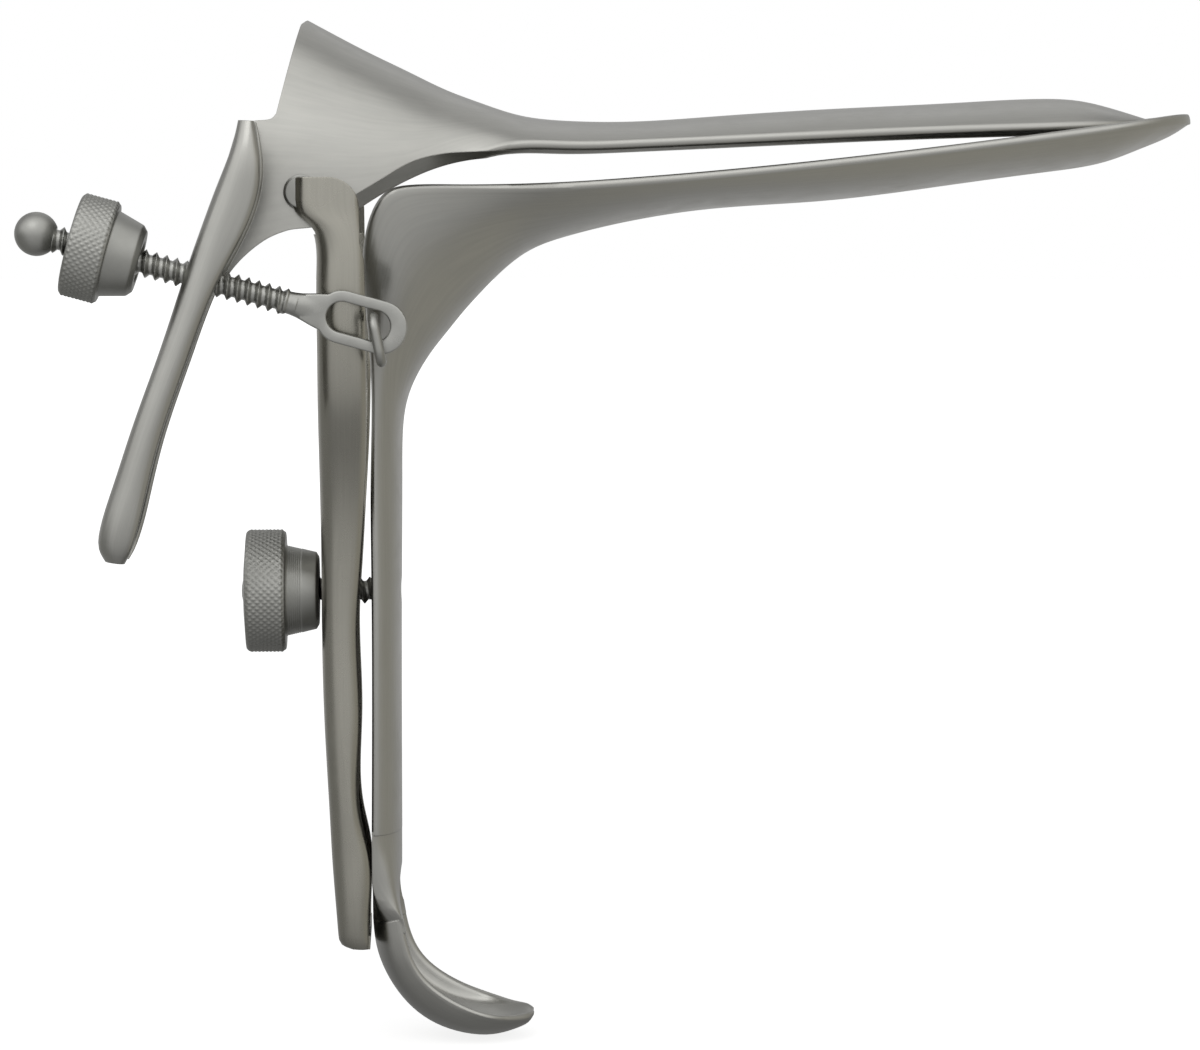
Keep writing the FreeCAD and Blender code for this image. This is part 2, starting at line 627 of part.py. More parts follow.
def staple():
    """Wire staple on the near arm: one leg through the eye, one below it."""
    foot_y = -(ARM_OUTER_Y - 1.1)
    low_z = STAPLE_Z - STAPLE_DROP
    end_y = STAPLE_REACH_Y + WIRE_RADIUS
    bend_y = end_y + STAPLE_CORNER
    turn = STAPLE_CORNER * (1 - math.sqrt(0.5))
    runs = [
        [(foot_y, STAPLE_Z), (bend_y, STAPLE_Z)],
        [(bend_y, STAPLE_Z), (end_y + turn, STAPLE_Z - turn), (end_y, STAPLE_Z - STAPLE_CORNER)],
        [(end_y, STAPLE_Z - STAPLE_CORNER), (end_y, low_z + STAPLE_CORNER)],
        [(end_y, low_z + STAPLE_CORNER), (end_y + turn, low_z + turn), (bend_y, low_z)],
        [(bend_y, low_z), (foot_y, low_z)],
    ]
    path = Part.Wire([as_edge([vec(STAPLE_X, y, z) for y, z in run]) for run in runs])
    circle = Part.Wire(Part.makeCircle(WIRE_RADIUS, vec(STAPLE_X, foot_y, STAPLE_Z), vec(0, -1, 0)))
    return path.makePipeShell([circle], True, False)


PARTS = {
    "lower_blade": lower_blade,
    "handle_stud": handle_stud,
    "handle_nut": handle_nut,
    "yoke": yoke,
    "staple": staple,
    "pivot_near": lambda: pivot(-1),
    "pivot_far": lambda: pivot(1),
    "upper_blade": upper_blade,
    "eyelet_rod": eyelet_rod,
    "rod_ball": rod_ball,
    "lever_nut": lever_nut,
}

os.makedirs("parts", exist_ok=True)
for name, build in PARTS.items():
    shape = build()
    shape.exportStep(f"parts/{name}.step")
    box = shape.optimalBoundingBox()
    print(name, shape.ShapeType, "valid", shape.isValid(), "volume", round(shape.Volume, 1),
          "x", round(box.XMin, 2), round(box.XMax, 2), "y", round(box.YMin, 2), round(box.YMax, 2),
          "z", round(box.ZMin, 2), round(box.ZMax, 2))
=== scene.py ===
"""A bivalve speculum in satin stainless steel: two bent blades, a forked yoke and two thumb nuts.

Lengths in the tables below are millimetres, and every mesh is made in metres.
+X runs along the blades, +Z is up, and the thumb lever is on the -Y side.
"""

import math

import bmesh
import bpy
import numpy as np
from mathutils import Matrix, Vector


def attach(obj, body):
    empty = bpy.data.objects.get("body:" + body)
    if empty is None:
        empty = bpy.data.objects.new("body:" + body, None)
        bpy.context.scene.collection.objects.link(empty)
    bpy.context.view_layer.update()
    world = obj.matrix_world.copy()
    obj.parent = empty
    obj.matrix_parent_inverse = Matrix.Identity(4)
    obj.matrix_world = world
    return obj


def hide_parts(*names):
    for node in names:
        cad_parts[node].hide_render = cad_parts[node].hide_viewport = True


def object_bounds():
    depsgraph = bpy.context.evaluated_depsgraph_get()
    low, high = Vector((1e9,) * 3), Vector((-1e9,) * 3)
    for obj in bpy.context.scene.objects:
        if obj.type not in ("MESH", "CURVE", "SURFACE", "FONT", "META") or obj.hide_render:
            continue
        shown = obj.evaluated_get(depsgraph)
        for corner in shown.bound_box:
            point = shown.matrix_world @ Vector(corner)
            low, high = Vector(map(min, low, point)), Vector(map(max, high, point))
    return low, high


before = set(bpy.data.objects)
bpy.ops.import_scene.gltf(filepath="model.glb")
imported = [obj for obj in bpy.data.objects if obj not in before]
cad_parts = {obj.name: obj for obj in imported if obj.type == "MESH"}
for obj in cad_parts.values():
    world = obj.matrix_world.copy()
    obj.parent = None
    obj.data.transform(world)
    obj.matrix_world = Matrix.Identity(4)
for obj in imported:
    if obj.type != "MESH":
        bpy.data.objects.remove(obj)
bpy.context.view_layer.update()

MM = 0.001
SCREW_AXIS = Vector((-math.cos(math.radians(15.3)), 0, math.sin(math.radians(15.3))))

# Sheet steel
BLADE_SHEET = 1.3
YOKE_SHEET = 1.4
THIN_TIP = 0.4
ROW_STEP = 0.9
SECTION_SHARES = (-1, -0.86, -0.66, -0.36, 0, 0.36, 0.66, 0.86, 1)
ACROSS = 49
RIM_STEPS = 5

# Places shared by several pieces
PIVOT = (-10.0, 72.1)
STUD_Z = 21.8
WALL_Y = 19.0
EAR_INNER_Y = 19.74
ARM_OUTER_Y = 21.14
EYE_Y = -22.25
EYE_X = -0.85
EYE_Z = 55.92
STAPLE_Z = 57.3


# ---------------------------------------------------------------- camera

def aim_camera():
    """A long lens a little above the blades, square to the instrument's side."""
    lens = bpy.data.cameras.new("side_view")
    lens.sensor_width = 36
    lens.lens = 114.72
    lens.clip_start = 0.01
    camera = bpy.data.objects.new("side_view", lens)
    bpy.context.scene.collection.objects.link(camera)
    place = Vector((5.072, -484.932, 69.056)) * MM
    target = Vector((27.092, 0, 29.999)) * MM
    camera.location = place
    camera.rotation_mode = "QUATERNION"
    camera.rotation_quaternion = (target - place).to_track_quat("-Z", "Y")
    bpy.context.scene.camera = camera


# ---------------------------------------------------------------- materials

def linear(hex_colour):
    """An sRGB hex colour as linear RGBA."""
    values = [int(hex_colour[i:i + 2], 16) / 255 for i in (1, 3, 5)]
    return tuple(v / 12.92 if v <= 0.04045 else ((v + 0.055) / 1.055) ** 2.4 for v in values) + (1,)


def add(tree, kind, inputs=None, **settings):
    """A node with its settings, and its inputs set to values or linked from sockets."""
    made = tree.nodes.new(kind)
    for name, value in settings.items():
        setattr(made, name, value)
    for name, value in (inputs or {}).items():
        if isinstance(value, bpy.types.NodeSocket):
            tree.links.new(value, made.inputs[name])
        else:
            made.inputs[name].default_value = value
    return made


def steel(name, colour, worn, roughness, grain, grain_depth, source):
    """Bare metal whose finishing lines run along a piece.

    grain is the size of a scratch in mm: its length, and its width twice.
    source is the texture coordinate that carries the lines.
    """
    material = bpy.data.materials.new(name)
    material.use_nodes = True
    tree = material.node_tree
    surface = tree.nodes["Principled BSDF"]
    surface.inputs["Metallic"].default_value = 1.0
    place = add(tree, "ShaderNodeTexCoord")
    scale = tuple(1 / (size * MM) for size in grain)
    lines = add(tree, "ShaderNodeMapping", {"Vector": place.outputs[source], "Scale": scale})
    scratches = add(tree, "ShaderNodeTexNoise",
                    {"Vector": lines.outputs["Vector"], "Scale": 1.0, "Detail": 3.0, "Roughness": 0.6})
    clouds = add(tree, "ShaderNodeTexNoise",
                 {"Vector": place.outputs["Object"], "Scale": 1 / (11 * MM), "Detail": 2.0})
    handling = add(tree, "ShaderNodeTexNoise",
                   {"Vector": place.outputs["Object"], "Scale": 1 / (2.4 * MM), "Detail": 4.0})
    uneven = add(tree, "ShaderNodeMath", {0: clouds.outputs["Fac"], 1: handling.outputs["Fac"]},
                 operation="MULTIPLY")
    tone = add(tree, "ShaderNodeMix", {"Factor": scratches.outputs["Fac"], "A": linear(worn),
                                       "B": linear(colour)}, data_type="RGBA")
    sheen = add(tree, "ShaderNodeMapRange",
                {"Value": uneven.outputs["Value"], "From Min": 0.12, "From Max": 0.42,
                 "To Min": roughness - 0.05, "To Max": roughness + 0.06})
    edge = add(tree, "ShaderNodeBevel", {"Radius": 0.22 * MM}, samples=4)
    relief = add(tree, "ShaderNodeBump",
                 {"Strength": 1.0, "Distance": grain_depth * MM, "Height": scratches.outputs["Fac"],
                  "Normal": edge.outputs["Normal"]})
    tree.links.new(socket(tone, "Result", "RGBA"), surface.inputs["Base Color"])
    tree.links.new(sheen.outputs["Result"], surface.inputs["Roughness"])
    tree.links.new(relief.outputs["Normal"], surface.inputs["Normal"])
    return material


def socket(made, name, kind):
    """An output of a node that has one of that name for each data type."""
    return next(s for s in made.outputs if s.name == name and s.type == kind)


# ---------------------------------------------------------------- mesh making

def mesh_object(name, points, faces):
    """A closed mesh in metres from points in millimetres."""
    mesh = bpy.data.meshes.new(name)
    mesh.from_pydata([tuple(c * MM for c in point) for point in points], [], faces)
    mesh.validate()
    made = bpy.data.objects.new(name, mesh)
    bpy.context.scene.collection.objects.link(made)
    return made


def face_out(piece):
    """Doubles merged, and faces turned outwards."""
    shell = bmesh.new()
    shell.from_mesh(piece.data)
    bmesh.ops.remove_doubles(shell, verts=shell.verts, dist=1e-7)
    bmesh.ops.recalc_face_normals(shell, faces=shell.faces)
    if shell.calc_volume(signed=True) < 0:
        bmesh.ops.reverse_faces(shell, faces=shell.faces)
    shell.to_mesh(piece.data)
    shell.free()
    return piece


def settle(piece, *extra):
    """The piece's modifiers made into its mesh, with the helper objects removed."""
    graph = bpy.context.evaluated_depsgraph_get()
    graph.update()
    mesh = bpy.data.meshes.new_from_object(piece.evaluated_get(graph))
    piece.modifiers.clear()
    old = piece.data
    piece.data = mesh
    mesh.name = piece.name
    bpy.data.meshes.remove(old)
    for helper in extra:
        bpy.data.objects.remove(helper)
    return piece


def combine(piece, operation, *tools):
    """The piece united with, cut by or kept inside the tools."""
    for tool in tools:
        step = piece.modifiers.new("combine", "BOOLEAN")
        step.operation = operation
        step.solver = "EXACT"
        step.object = tool
    return settle(piece, *tools)


def soften(piece, angle_deg=32):
    """Smooth shading, with creases where faces meet at more than the angle."""
    piece.data.polygons.foreach_set("use_smooth", [True] * len(piece.data.polygons))
    piece.data.set_sharp_from_angle(angle=math.radians(angle_deg))
    return piece


def cubic(knots, values, at):
    """Values along a natural cubic through the knots."""
    knots, values, at = (np.asarray(v, float) for v in (knots, values, at))
    gap = np.diff(knots)
    count = len(knots)
    system = np.eye(count)
    right = np.zeros_like(values)
    for i in range(1, count - 1):
        system[i, i - 1:i + 2] = gap[i - 1], 2 * (gap[i - 1] + gap[i]), gap[i]
        right[i] = 6 * ((values[i + 1] - values[i]) / gap[i] - (values[i] - values[i - 1]) / gap[i - 1])
    bend = np.linalg.solve(system, right)
    span = np.clip(np.searchsorted(knots, at, side="right") - 1, 0, count - 2)
    b = ((at - knots[span]) / gap[span])[:, None]
    a = 1 - b
    return (a * values[span] + b * values[span + 1]
            + ((a ** 3 - a) * bend[span] + (b ** 3 - b) * bend[span + 1]) * gap[span, None] ** 2 / 6)


def smooth_rows(rows):
    """Rows of numbers filled in smoothly, about ROW_STEP apart."""
    table = np.array(rows, float)
    step = np.sqrt((np.diff(table[:, :4], axis=0) ** 2).sum(1) / 2 + np.diff(table[:, 4]) ** 2)
    place = np.concatenate([[0], np.cumsum(step)])
    at = [np.linspace(a, b, max(2, math.ceil((b - a) / ROW_STEP)), endpoint=False)
          for a, b in zip(place, place[1:])]
    return cubic(place, table, np.concatenate(at + [place[-1:]]))


def unit(vectors):
    return vectors / np.linalg.norm(vectors, axis=-1, keepdims=True)


def sheet_ring(outer, inner, sheet):
    """A sheet's closed section from the (side, reach) runs of its faces, with half-round rims."""
    turn = np.linspace(0, math.pi, RIM_STEPS + 2)[1:-1, None]

    def rim(start, end, out):
        middle = (start + end) / 2
        return middle + (start - middle) * np.cos(turn) + out * np.sin(turn) * sheet / 2

    first, last = unit(outer[0] - outer[1]), unit(outer[-1] - outer[-2])
    return np.concatenate([outer, rim(outer[-1], inner[-1], last), inner[::-1],
                           rim(inner[0], outer[0], first)])


def blade_faces(row, depth, sheet):
    """Both faces of a blade's section: a round U whose shoulders a fullness under 1 squares."""
    half, limit, fullness = row[4], math.radians(row[5]), row[6]
    shares = np.array(SECTION_SHARES)

    def at(share, base):
        angle = limit * np.clip(share, -1, 1)
        rise = np.clip((np.cos(angle) - math.cos(limit)) / (1 - math.cos(limit)), 0, 1) ** fullness
        return np.stack([half * np.sin(angle) / math.sin(limit), base + (depth - base) * rise], axis=1)

    def slope(base):
        return unit(at(shares + 0.004, base) - at(shares - 0.004, base))

    base = sheet / 2 * (1 + slope(0)[0, 0])
    along = slope(base)
    outer = at(shares, base)
    inner = outer + sheet * np.stack([along[:, 1], -along[:, 0]], axis=1)
    index = np.arange(len(shares))
    across = np.linspace(0, index[-1], ACROSS)
    return cubic(index, outer, across), cubic(index, inner, across)


def channel_faces(row, depth, sheet):
    """Both faces of a channel's section: two legs that bow out a little, two corners and a web."""
    bow = row[7]
    low = sheet / 2
    corner = max(sheet + 0.1, min(row[6], depth - low - 0.1))
    leg = np.linspace(0, 1, 11)[:, None]
    turn = np.linspace(0, math.pi / 2, 9)[1:, None]

    def face(inset):
        half = (row[5] - row[4]) / 2 - inset
        round_by = corner - inset
        legs = np.concatenate([-half + bow * (1 - leg) ** 2, low + (depth - corner - low) * leg], axis=1)
        bend = np.concatenate([-half + round_by * (1 - np.cos(turn)),
                               depth - corner + round_by * np.sin(turn)], axis=1)
        left = np.concatenate([legs, bend])
        web = np.linspace(left[-1, 0], -left[-1, 0], 13)[1:-1]
        web = np.stack([web, np.full(len(web), depth - inset)], axis=1)
        return np.concatenate([left, web, left[::-1] * (-1, 1)])

    return face(0), face(sheet)


def bent_sheet(name, rows, faces_of, sheet):
    """A sheet through filled-in rows of rim x, rim z, keel x, keel z and the section's own values.

    The map called grain runs along the sheet and across it, in metres.
    """
    rings = []
    for row in smooth_rows(rows):
        rim, keel = row[:2], row[2:4]
        depth = np.linalg.norm(keel - rim)
        blade = faces_of is blade_faces
        thick = min(sheet, THIN_TIP * (row[4] if blade else depth))
        middle = 0 if blade else (row[4] + row[5]) / 2
        flat = sheet_ring(*faces_of(row, depth, thick), thick)
        spots = rim + np.outer(flat[:, 1] / depth, keel - rim)
        rings.append(np.stack([spots[:, 0], middle + flat[:, 0], spots[:, 1]], axis=1))
    return lofted(name, rings)


def filled_run(name, rows):
    """A solid through filled-in blade rows: a section's outer face, closed straight across its rims."""
    rings = []
    for row in smooth_rows(rows):
        rim, keel = row[:2], row[2:4]
        depth = np.linalg.norm(keel - rim)
        flat = blade_faces(row, depth, 0)[0]
        spots = rim + np.outer(flat[:, 1] / depth, keel - rim)
        rings.append(np.stack([spots[:, 0], flat[:, 0], spots[:, 1]], axis=1))
    return lofted(name, rings)


def s_bend(name, rows):
    """A solid that is round to the right above and round to the left below, with flat walls between.

    A row holds left x, z and right x, z, the section's half, limit and fullness, and how far
    across, as shares, its right and left curves start.
    """
    rings = []
    for row in smooth_rows(rows):
        left, right = row[:2], row[2:4]
        length = np.linalg.norm(right - left)
        starts = np.clip(row[7:9], 0, 1) * length
        to_right = blade_faces(row, length - starts[0], 0)[0] + (0, starts[0])
        to_left = blade_faces(row, starts[1], 0)[0] * (1, -1) + (0, starts[1])
        flat = np.concatenate([to_right, to_left[::-1]])
        spots = left + np.outer(flat[:, 1] / length, right - left)
        rings.append(np.stack([spots[:, 0], flat[:, 0], spots[:, 1]], axis=1))
    return lofted(name, rings)


def lofted(name, rings):
    """A closed body through rings of points, with the grain map along and across it."""
    around = len(rings[0])
    points = np.concatenate(rings)
    faces = [tuple(range(around))[::-1], tuple(range(len(points) - around, len(points)))]
    for i in range(len(rings) - 1):
        for j in range(around):
            k = (j + 1) % around
            faces.append((i * around + j, i * around + k, (i + 1) * around + k, (i + 1) * around + j))
    made = mesh_object(name, points, faces)
    centres = np.array([ring.mean(0) for ring in rings])
    run = np.concatenate([[0], np.cumsum(np.linalg.norm(np.diff(centres, axis=0), axis=1))])
    grain = made.data.uv_layers.new(name="grain")
    for face in made.data.polygons:
        columns = [v % around for v in face.vertices]
        wraps = max(columns) - min(columns) > around / 2
        for corner, column in zip(face.loop_indices, columns):
            vertex = made.data.loops[corner].vertex_index
            across = column + (around if wraps and column == 0 else 0)
            grain.data[corner].uv = (run[vertex // around] * MM, across * 0.6 * MM)
    return face_out(made)


def outline_slab(name, outline, low_y, high_y):
    """A slab across Y whose outline in the XZ plane goes through the points."""
    count = len(outline)
    points = [(x, low_y, z) for x, z in outline] + [(x, high_y, z) for x, z in outline]
    faces = [tuple(range(count)), tuple(range(count, 2 * count))[::-1]]
    faces += [(i, (i + 1) % count, (i + 1) % count + count, i + count) for i in range(count)]
    return face_out(mesh_object(name, points, faces))


def arc(centre, radius, start_deg, end_deg, steps=12):
    """Points of a circle's arc."""
    return [(centre[0] + radius * math.cos(math.radians(a)), centre[1] + radius * math.sin(math.radians(a)))
            for a in np.linspace(start_deg, end_deg, steps + 1)]


def flowing(points, steps=6):
    """A smooth run through points, as Catmull-Rom spans."""
    known = np.array([points[0]] + list(points) + [points[-1]], float)
    run = []
    for i in range(1, len(known) - 2):
        p0, p1, p2, p3 = known[i - 1:i + 3]
        for t in np.arange(steps) / steps:
            run.append(0.5 * (2 * p1 + (p2 - p0) * t + (2 * p0 - 5 * p1 + 4 * p2 - p3) * t ** 2
                              + (3 * p1 - p0 - 3 * p2 + p3) * t ** 3))
    return [tuple(p) for p in run] + [tuple(points[-1])]


def eased(profile, size, closed):
    """A turned profile with its corners rounded off."""
    count = len(profile)
    known = [np.array(p, float) for p in profile]
    run = []
    for i, corner in enumerate(known):
        if not closed and i in (0, count - 1):
            run.append(corner)
            continue
        before, after = known[i - 1], known[(i + 1) % count]
        back, on = before - corner, after - corner
        start = corner + back * min(0.45, size / max(np.linalg.norm(back), 1e-9))
        end = corner + on * min(0.45, size / max(np.linalg.norm(on), 1e-9))
        run += [(1 - t) ** 2 * start + 2 * t * (1 - t) * corner + t ** 2 * end for t in (0, 0.25, 0.5, 0.75, 1)]
    return run


def turned(name, profile, start, direction, closed=True, ease=0.12, around=96, fine=0.0):
    """A lathe-turned body from (along, radius) pairs, about a line through start.

    A closed profile goes round a bore; an open one starts and ends on the line.
    fine is the longest step kept along the outside, for a band that gets grooves.
    """
    run = eased(profile, ease, closed) if ease else [np.array(p, float) for p in profile]
    if fine:
        split = []
        for a, b in zip(run, run[1:] + (run[:1] if closed else [])):
            parts = max(1, math.ceil(abs(b[0] - a[0]) / fine))
            split += [a + (b - a) * t for t in np.arange(parts) / parts]
        run = split + ([] if closed else [run[-1]])
    points, rings = [], []
    for along, radius in run:
        if radius < 1e-6:
            rings.append([len(points)])
            points.append((0, 0, along))
            continue
        rings.append([len(points) + i for i in range(around)])
        points += [(radius * math.cos(a), radius * math.sin(a), along)
                   for a in np.arange(around) * 2 * math.pi / around]
    faces = []
    for one, two in zip(rings, rings[1:] + (rings[:1] if closed else [])):
        for i in range(around):
            k = (i + 1) % around
            if len(one) == 1:
                faces.append((one[0], two[k], two[i]))
            elif len(two) == 1:
                faces.append((one[i], one[k], two[0]))
            else:
                faces.append((one[i], one[k], two[k], two[i]))
    made = face_out(mesh_object(name, points, faces))
    made["start"] = tuple(start)
    made["direction"] = tuple(direction)
    return made


def put_in_place(piece):
    """A turned body moved from the Z axis to its own line, in its mesh."""
    turn = Vector((0, 0, 1)).rotation_difference(Vector(piece["direction"])).to_matrix().to_4x4()
    piece.data.transform(Matrix.Translation(Vector(piece["start"]) * MM) @ turn)
    del piece["start"], piece["direction"]
    return piece


def screw_point(along, y=EYE_Y):
    """A place on the eyelet screw's centre line."""
    return Vector((EYE_X, y, EYE_Z)) + SCREW_AXIS * along


# ---------------------------------------------------------------- grooves that repeat

def groove_tree():
    """Geometry nodes that cut helical grooves in a turned body: a thread, or a crossed knurl."""
    tree = bpy.data.node_groups.new("cut_grooves", "GeometryNodeTree")
    for name, kind in (("Body", "NodeSocketGeometry"), ("Band start", "NodeSocketFloat"),
                       ("Band end", "NodeSocketFloat"), ("Run out", "NodeSocketFloat"),
                       ("Outside radius", "NodeSocketFloat"), ("Pitch", "NodeSocketFloat"),
                       ("Starts", "NodeSocketFloat"), ("Depth", "NodeSocketFloat"),
                       ("Flank", "NodeSocketFloat"), ("Crossed", "NodeSocketFloat"),
                       ("Metal", "NodeSocketMaterial")):
        tree.interface.new_socket(name, in_out="INPUT", socket_type=kind)
    tree.interface.new_socket("Body", in_out="OUTPUT", socket_type="NodeSocketGeometry")
    given = add(tree, "NodeGroupInput").outputs
    place = add(tree, "ShaderNodeSeparateXYZ",
                {"Vector": add(tree, "GeometryNodeInputPosition").outputs["Position"]}).outputs

    def calc(operation, a, b=0.0, c=0.0):
        return add(tree, "ShaderNodeMath", {0: a, 1: b, 2: c}, operation=operation).outputs["Value"]

    radius = calc("SQRT", calc("ADD", calc("MULTIPLY", place["X"], place["X"]),
                               calc("MULTIPLY", place["Y"], place["Y"])))
    turns = calc("MULTIPLY", calc("DIVIDE", calc("ARCTAN2", place["Y"], place["X"]), 2 * math.pi),
                 given["Starts"])
    along = calc("DIVIDE", place["Z"], given["Pitch"])

    def groove(phase):
        saw = calc("ABSOLUTE", calc("SUBTRACT", calc("FRACT", phase), 0.5))
        return calc("SUBTRACT", 1.0, calc("MULTIPLY", saw, 2.0))

    one = groove(calc("SUBTRACT", along, turns))
    two = calc("MULTIPLY", groove(calc("ADD", along, turns)), given["Crossed"])
    cut = calc("MINIMUM", 1.0, calc("MULTIPLY", calc("MAXIMUM", one, two), given["Flank"]))
    enter = add(tree, "ShaderNodeMapRange",
                {"Value": place["Z"], "From Min": given["Band start"],
                 "From Max": calc("ADD", given["Band start"], given["Run out"])}).outputs["Result"]
    leave = add(tree, "ShaderNodeMapRange",
                {"Value": place["Z"], "From Min": given["Band end"],
                 "From Max": calc("SUBTRACT", given["Band end"], given["Run out"])}).outputs["Result"]
    outside = calc("GREATER_THAN", radius, calc("SUBTRACT", given["Outside radius"], 0.3 * MM))
    depth = calc("MULTIPLY", calc("MULTIPLY", cut, given["Depth"]),
                 calc("MULTIPLY", outside, calc("MULTIPLY", enter, leave)))
    inward = calc("DIVIDE", calc("MULTIPLY", depth, -1.0), calc("MAXIMUM", radius, 1e-6))
    shift = add(tree, "ShaderNodeCombineXYZ", {"X": calc("MULTIPLY", place["X"], inward),
                                               "Y": calc("MULTIPLY", place["Y"], inward)})
    cut_body = add(tree, "GeometryNodeSetPosition",
                   {"Geometry": given["Body"], "Offset": shift.outputs["Vector"]})
    real = add(tree, "GeometryNodeRealizeInstances", {"Geometry": cut_body.outputs["Geometry"]})
    finish = add(tree, "GeometryNodeSetMaterial",
                 {"Geometry": real.outputs["Geometry"], "Material": given["Metal"]})
    add(tree, "NodeGroupOutput", {"Body": finish.outputs["Geometry"]})
    return tree


def cut_grooves(piece, tree, metal, sizes):
    """The tree's grooves cut in a turned body, from sizes in millimetres and plain counts."""
    step = piece.modifiers.new("grooves", "NODES")
    step.node_group = tree
    names = {item.name: item.identifier for item in tree.interface.items_tree
             if item.in_out == "INPUT"}
    for name, value in sizes.items():
        plain = name in ("Starts", "Flank", "Crossed")
        step[names[name]] = float(value) if plain else value * MM
    step[names["Metal"]] = metal
    return settle(piece)


# ---------------------------------------------------------------- blades

def lower_blade():
    """Blade, mouth and handle bent from one sheet, with a foot that curls the other way."""
    sheet_rows = [
        (101.75, 81.75, 101.9, 81.3, 1.4, 60, 1.0),
        (100.9, 81.85, 101.1, 80.45, 4.7, 60, 1.0),
        (98.8, 81.75, 99.0, 79.1, 8.6, 60, 1.0),
        (95.4, 81.3, 95.4, 77.6, 12.2, 60, 1.0),
        (91, 80.7, 91, 76.0, 14.8, 60, 1.0),
        (84, 79.75, 84, 74.8, 16.0, 60, 1.0),
        (72, 78.2, 72, 73.2, 15.9, 60, 1.0),
        (55, 76.2, 55, 71.1, 15.4, 60, 1.0),
        (40, 74.7, 40, 70.0, 15.2, 60, 1.0),
        (29.5, 73.85, 30, 68.4, 15.4, 62, 1.0),
        (20.5, 73.3, 23.0, 66.7, 15.7, 66, 1.0),
        (13.5, 73.1, 18.2, 64.9, 16.0, 72, 1.0),
        (7.6, 73.1, 14.7, 62.3, 16.3, 78, 0.97),
        (3.0, 73.0, 11.9, 59.5, 16.5, 82, 0.95),
        (0.4, 72.3, 9.9, 57.3, 16.5, 84, 0.95),
        (-1.4, 70.0, 8.1, 55.1, 16.1, 86, 0.95),
        (-2.55, 65.6, 6.1, 52.6, 15.1, 86, 0.95),
        (-2.4, 58.0, 3.5, 48.3, 12.1, 84, 0.95),
        (-1.8, 48.5, 2.2, 43.4, 9.5, 82, 0.97),
        (-1.9, 38.5, 2.0, 36.5, 8.3, 80, 1.0),
        (-1.9, 25, 1.9, 25, 8.0, 80, 1.0),
        (-2.0, -8.5, 1.8, -8.5, 8.0, 80, 1.0),
    ]
    bend_rows = [
        (-1.98, -8.0, 1.78, -8.0, 7.98, 80, 1.0, 0, 0),
        (-1.99, -9.5, 1.78, -9.5, 7.97, 80, 0.9, 0, 0),
        (-2.0, -11.2, 1.78, -11.2, 7.93, 81, 0.72, 0.02, 0),
        (-2.0, -13.0, 1.77, -13.0, 7.88, 83, 0.56, 0.08, 0),
        (-2.0, -15.0, 1.76, -15.0, 7.82, 84, 0.48, 0.25, 0.02),
        (-2.0, -17.0, 1.77, -16.8, 7.76, 84, 0.48, 0.55, 0.2),
        (-2.0, -18.8, 1.82, -18.3, 7.7, 83, 0.55, 0.85, 0.6),
        (-1.97, -20.2, 1.92, -19.4, 7.6, 82, 0.62, 1, 1),
        (-1.85, -22.0, 2.2, -21.0, 7.62, 82, 0.62, 1, 1),
    ]
    hollow_back = [
        (-2.1, -5.5, 0.45, -5.5, 6.65, 80, 1.0),
        (-2.1, -9.0, 0.45, -9.0, 6.6, 80, 1.0),
        (-2.1, -11.0, 0.25, -11.0, 6.3, 80, 1.0),
        (-2.1, -13.0, -0.5, -13.0, 5.4, 80, 1.0),
        (-2.1, -14.6, -1.4, -14.6, 3.6, 80, 1.0),
        (-2.1, -15.4, -1.9, -15.4, 1.8, 80, 1.0),
    ]
    hollow_front = [
        (2.2, -12.6, 2.0, -12.6, 4.0, 80, 1.0),
        (2.2, -14.2, 1.2, -14.2, 5.0, 80, 1.0),
        (2.25, -16.4, 0.3, -16.6, 5.9, 80, 1.0),
        (2.35, -18.5, -0.4, -18.8, 6.2, 80, 1.0),
        (2.5, -20.5, -0.65, -21.2, 6.3, 80, 1.0),
        (2.8, -21.8, -0.55, -22.9, 6.3, 80, 1.0),
    ]
    foot_rows = [
        (1.85, -19.2, -2.0, -20.0, 7.6, 82, 0.62),
        (2.65, -23.0, -1.45, -24.3, 7.7, 82, 0.62),
        (5.3, -27.5, 2.3, -31.0, 7.7, 81, 0.65),
        (9.6, -30.3, 7.5, -34.4, 7.8, 79, 0.7),
        (13.2, -31.6, 12.4, -35.3, 7.2, 74, 0.8),
        (16.2, -32.2, 16.0, -34.7, 5.0, 66, 0.9),
        (17.9, -32.4, 17.8, -33.9, 3.0, 62, 1.0),
        (18.6, -32.5, 18.5, -33.1, 1.2, 60, 1.0),
    ]
    blade = bent_sheet("lower_blade_sheet", sheet_rows, blade_faces, BLADE_SHEET)
    foot = bent_sheet("foot", foot_rows, blade_faces, BLADE_SHEET)
    blade = combine(blade, "UNION", foot, s_bend("bend", bend_rows))
    blade = combine(blade, "DIFFERENCE", filled_run("hollow_back", hollow_back),
                    filled_run("hollow_front", hollow_front))
    hole = put_in_place(turned("hole", [(0, 0), (0, 1.75), (8, 1.75), (8, 0)], (-4, 0, STUD_Z), (1, 0, 0),
                               closed=False, ease=0, around=48))
    return soften(combine(blade, "DIFFERENCE", hole))


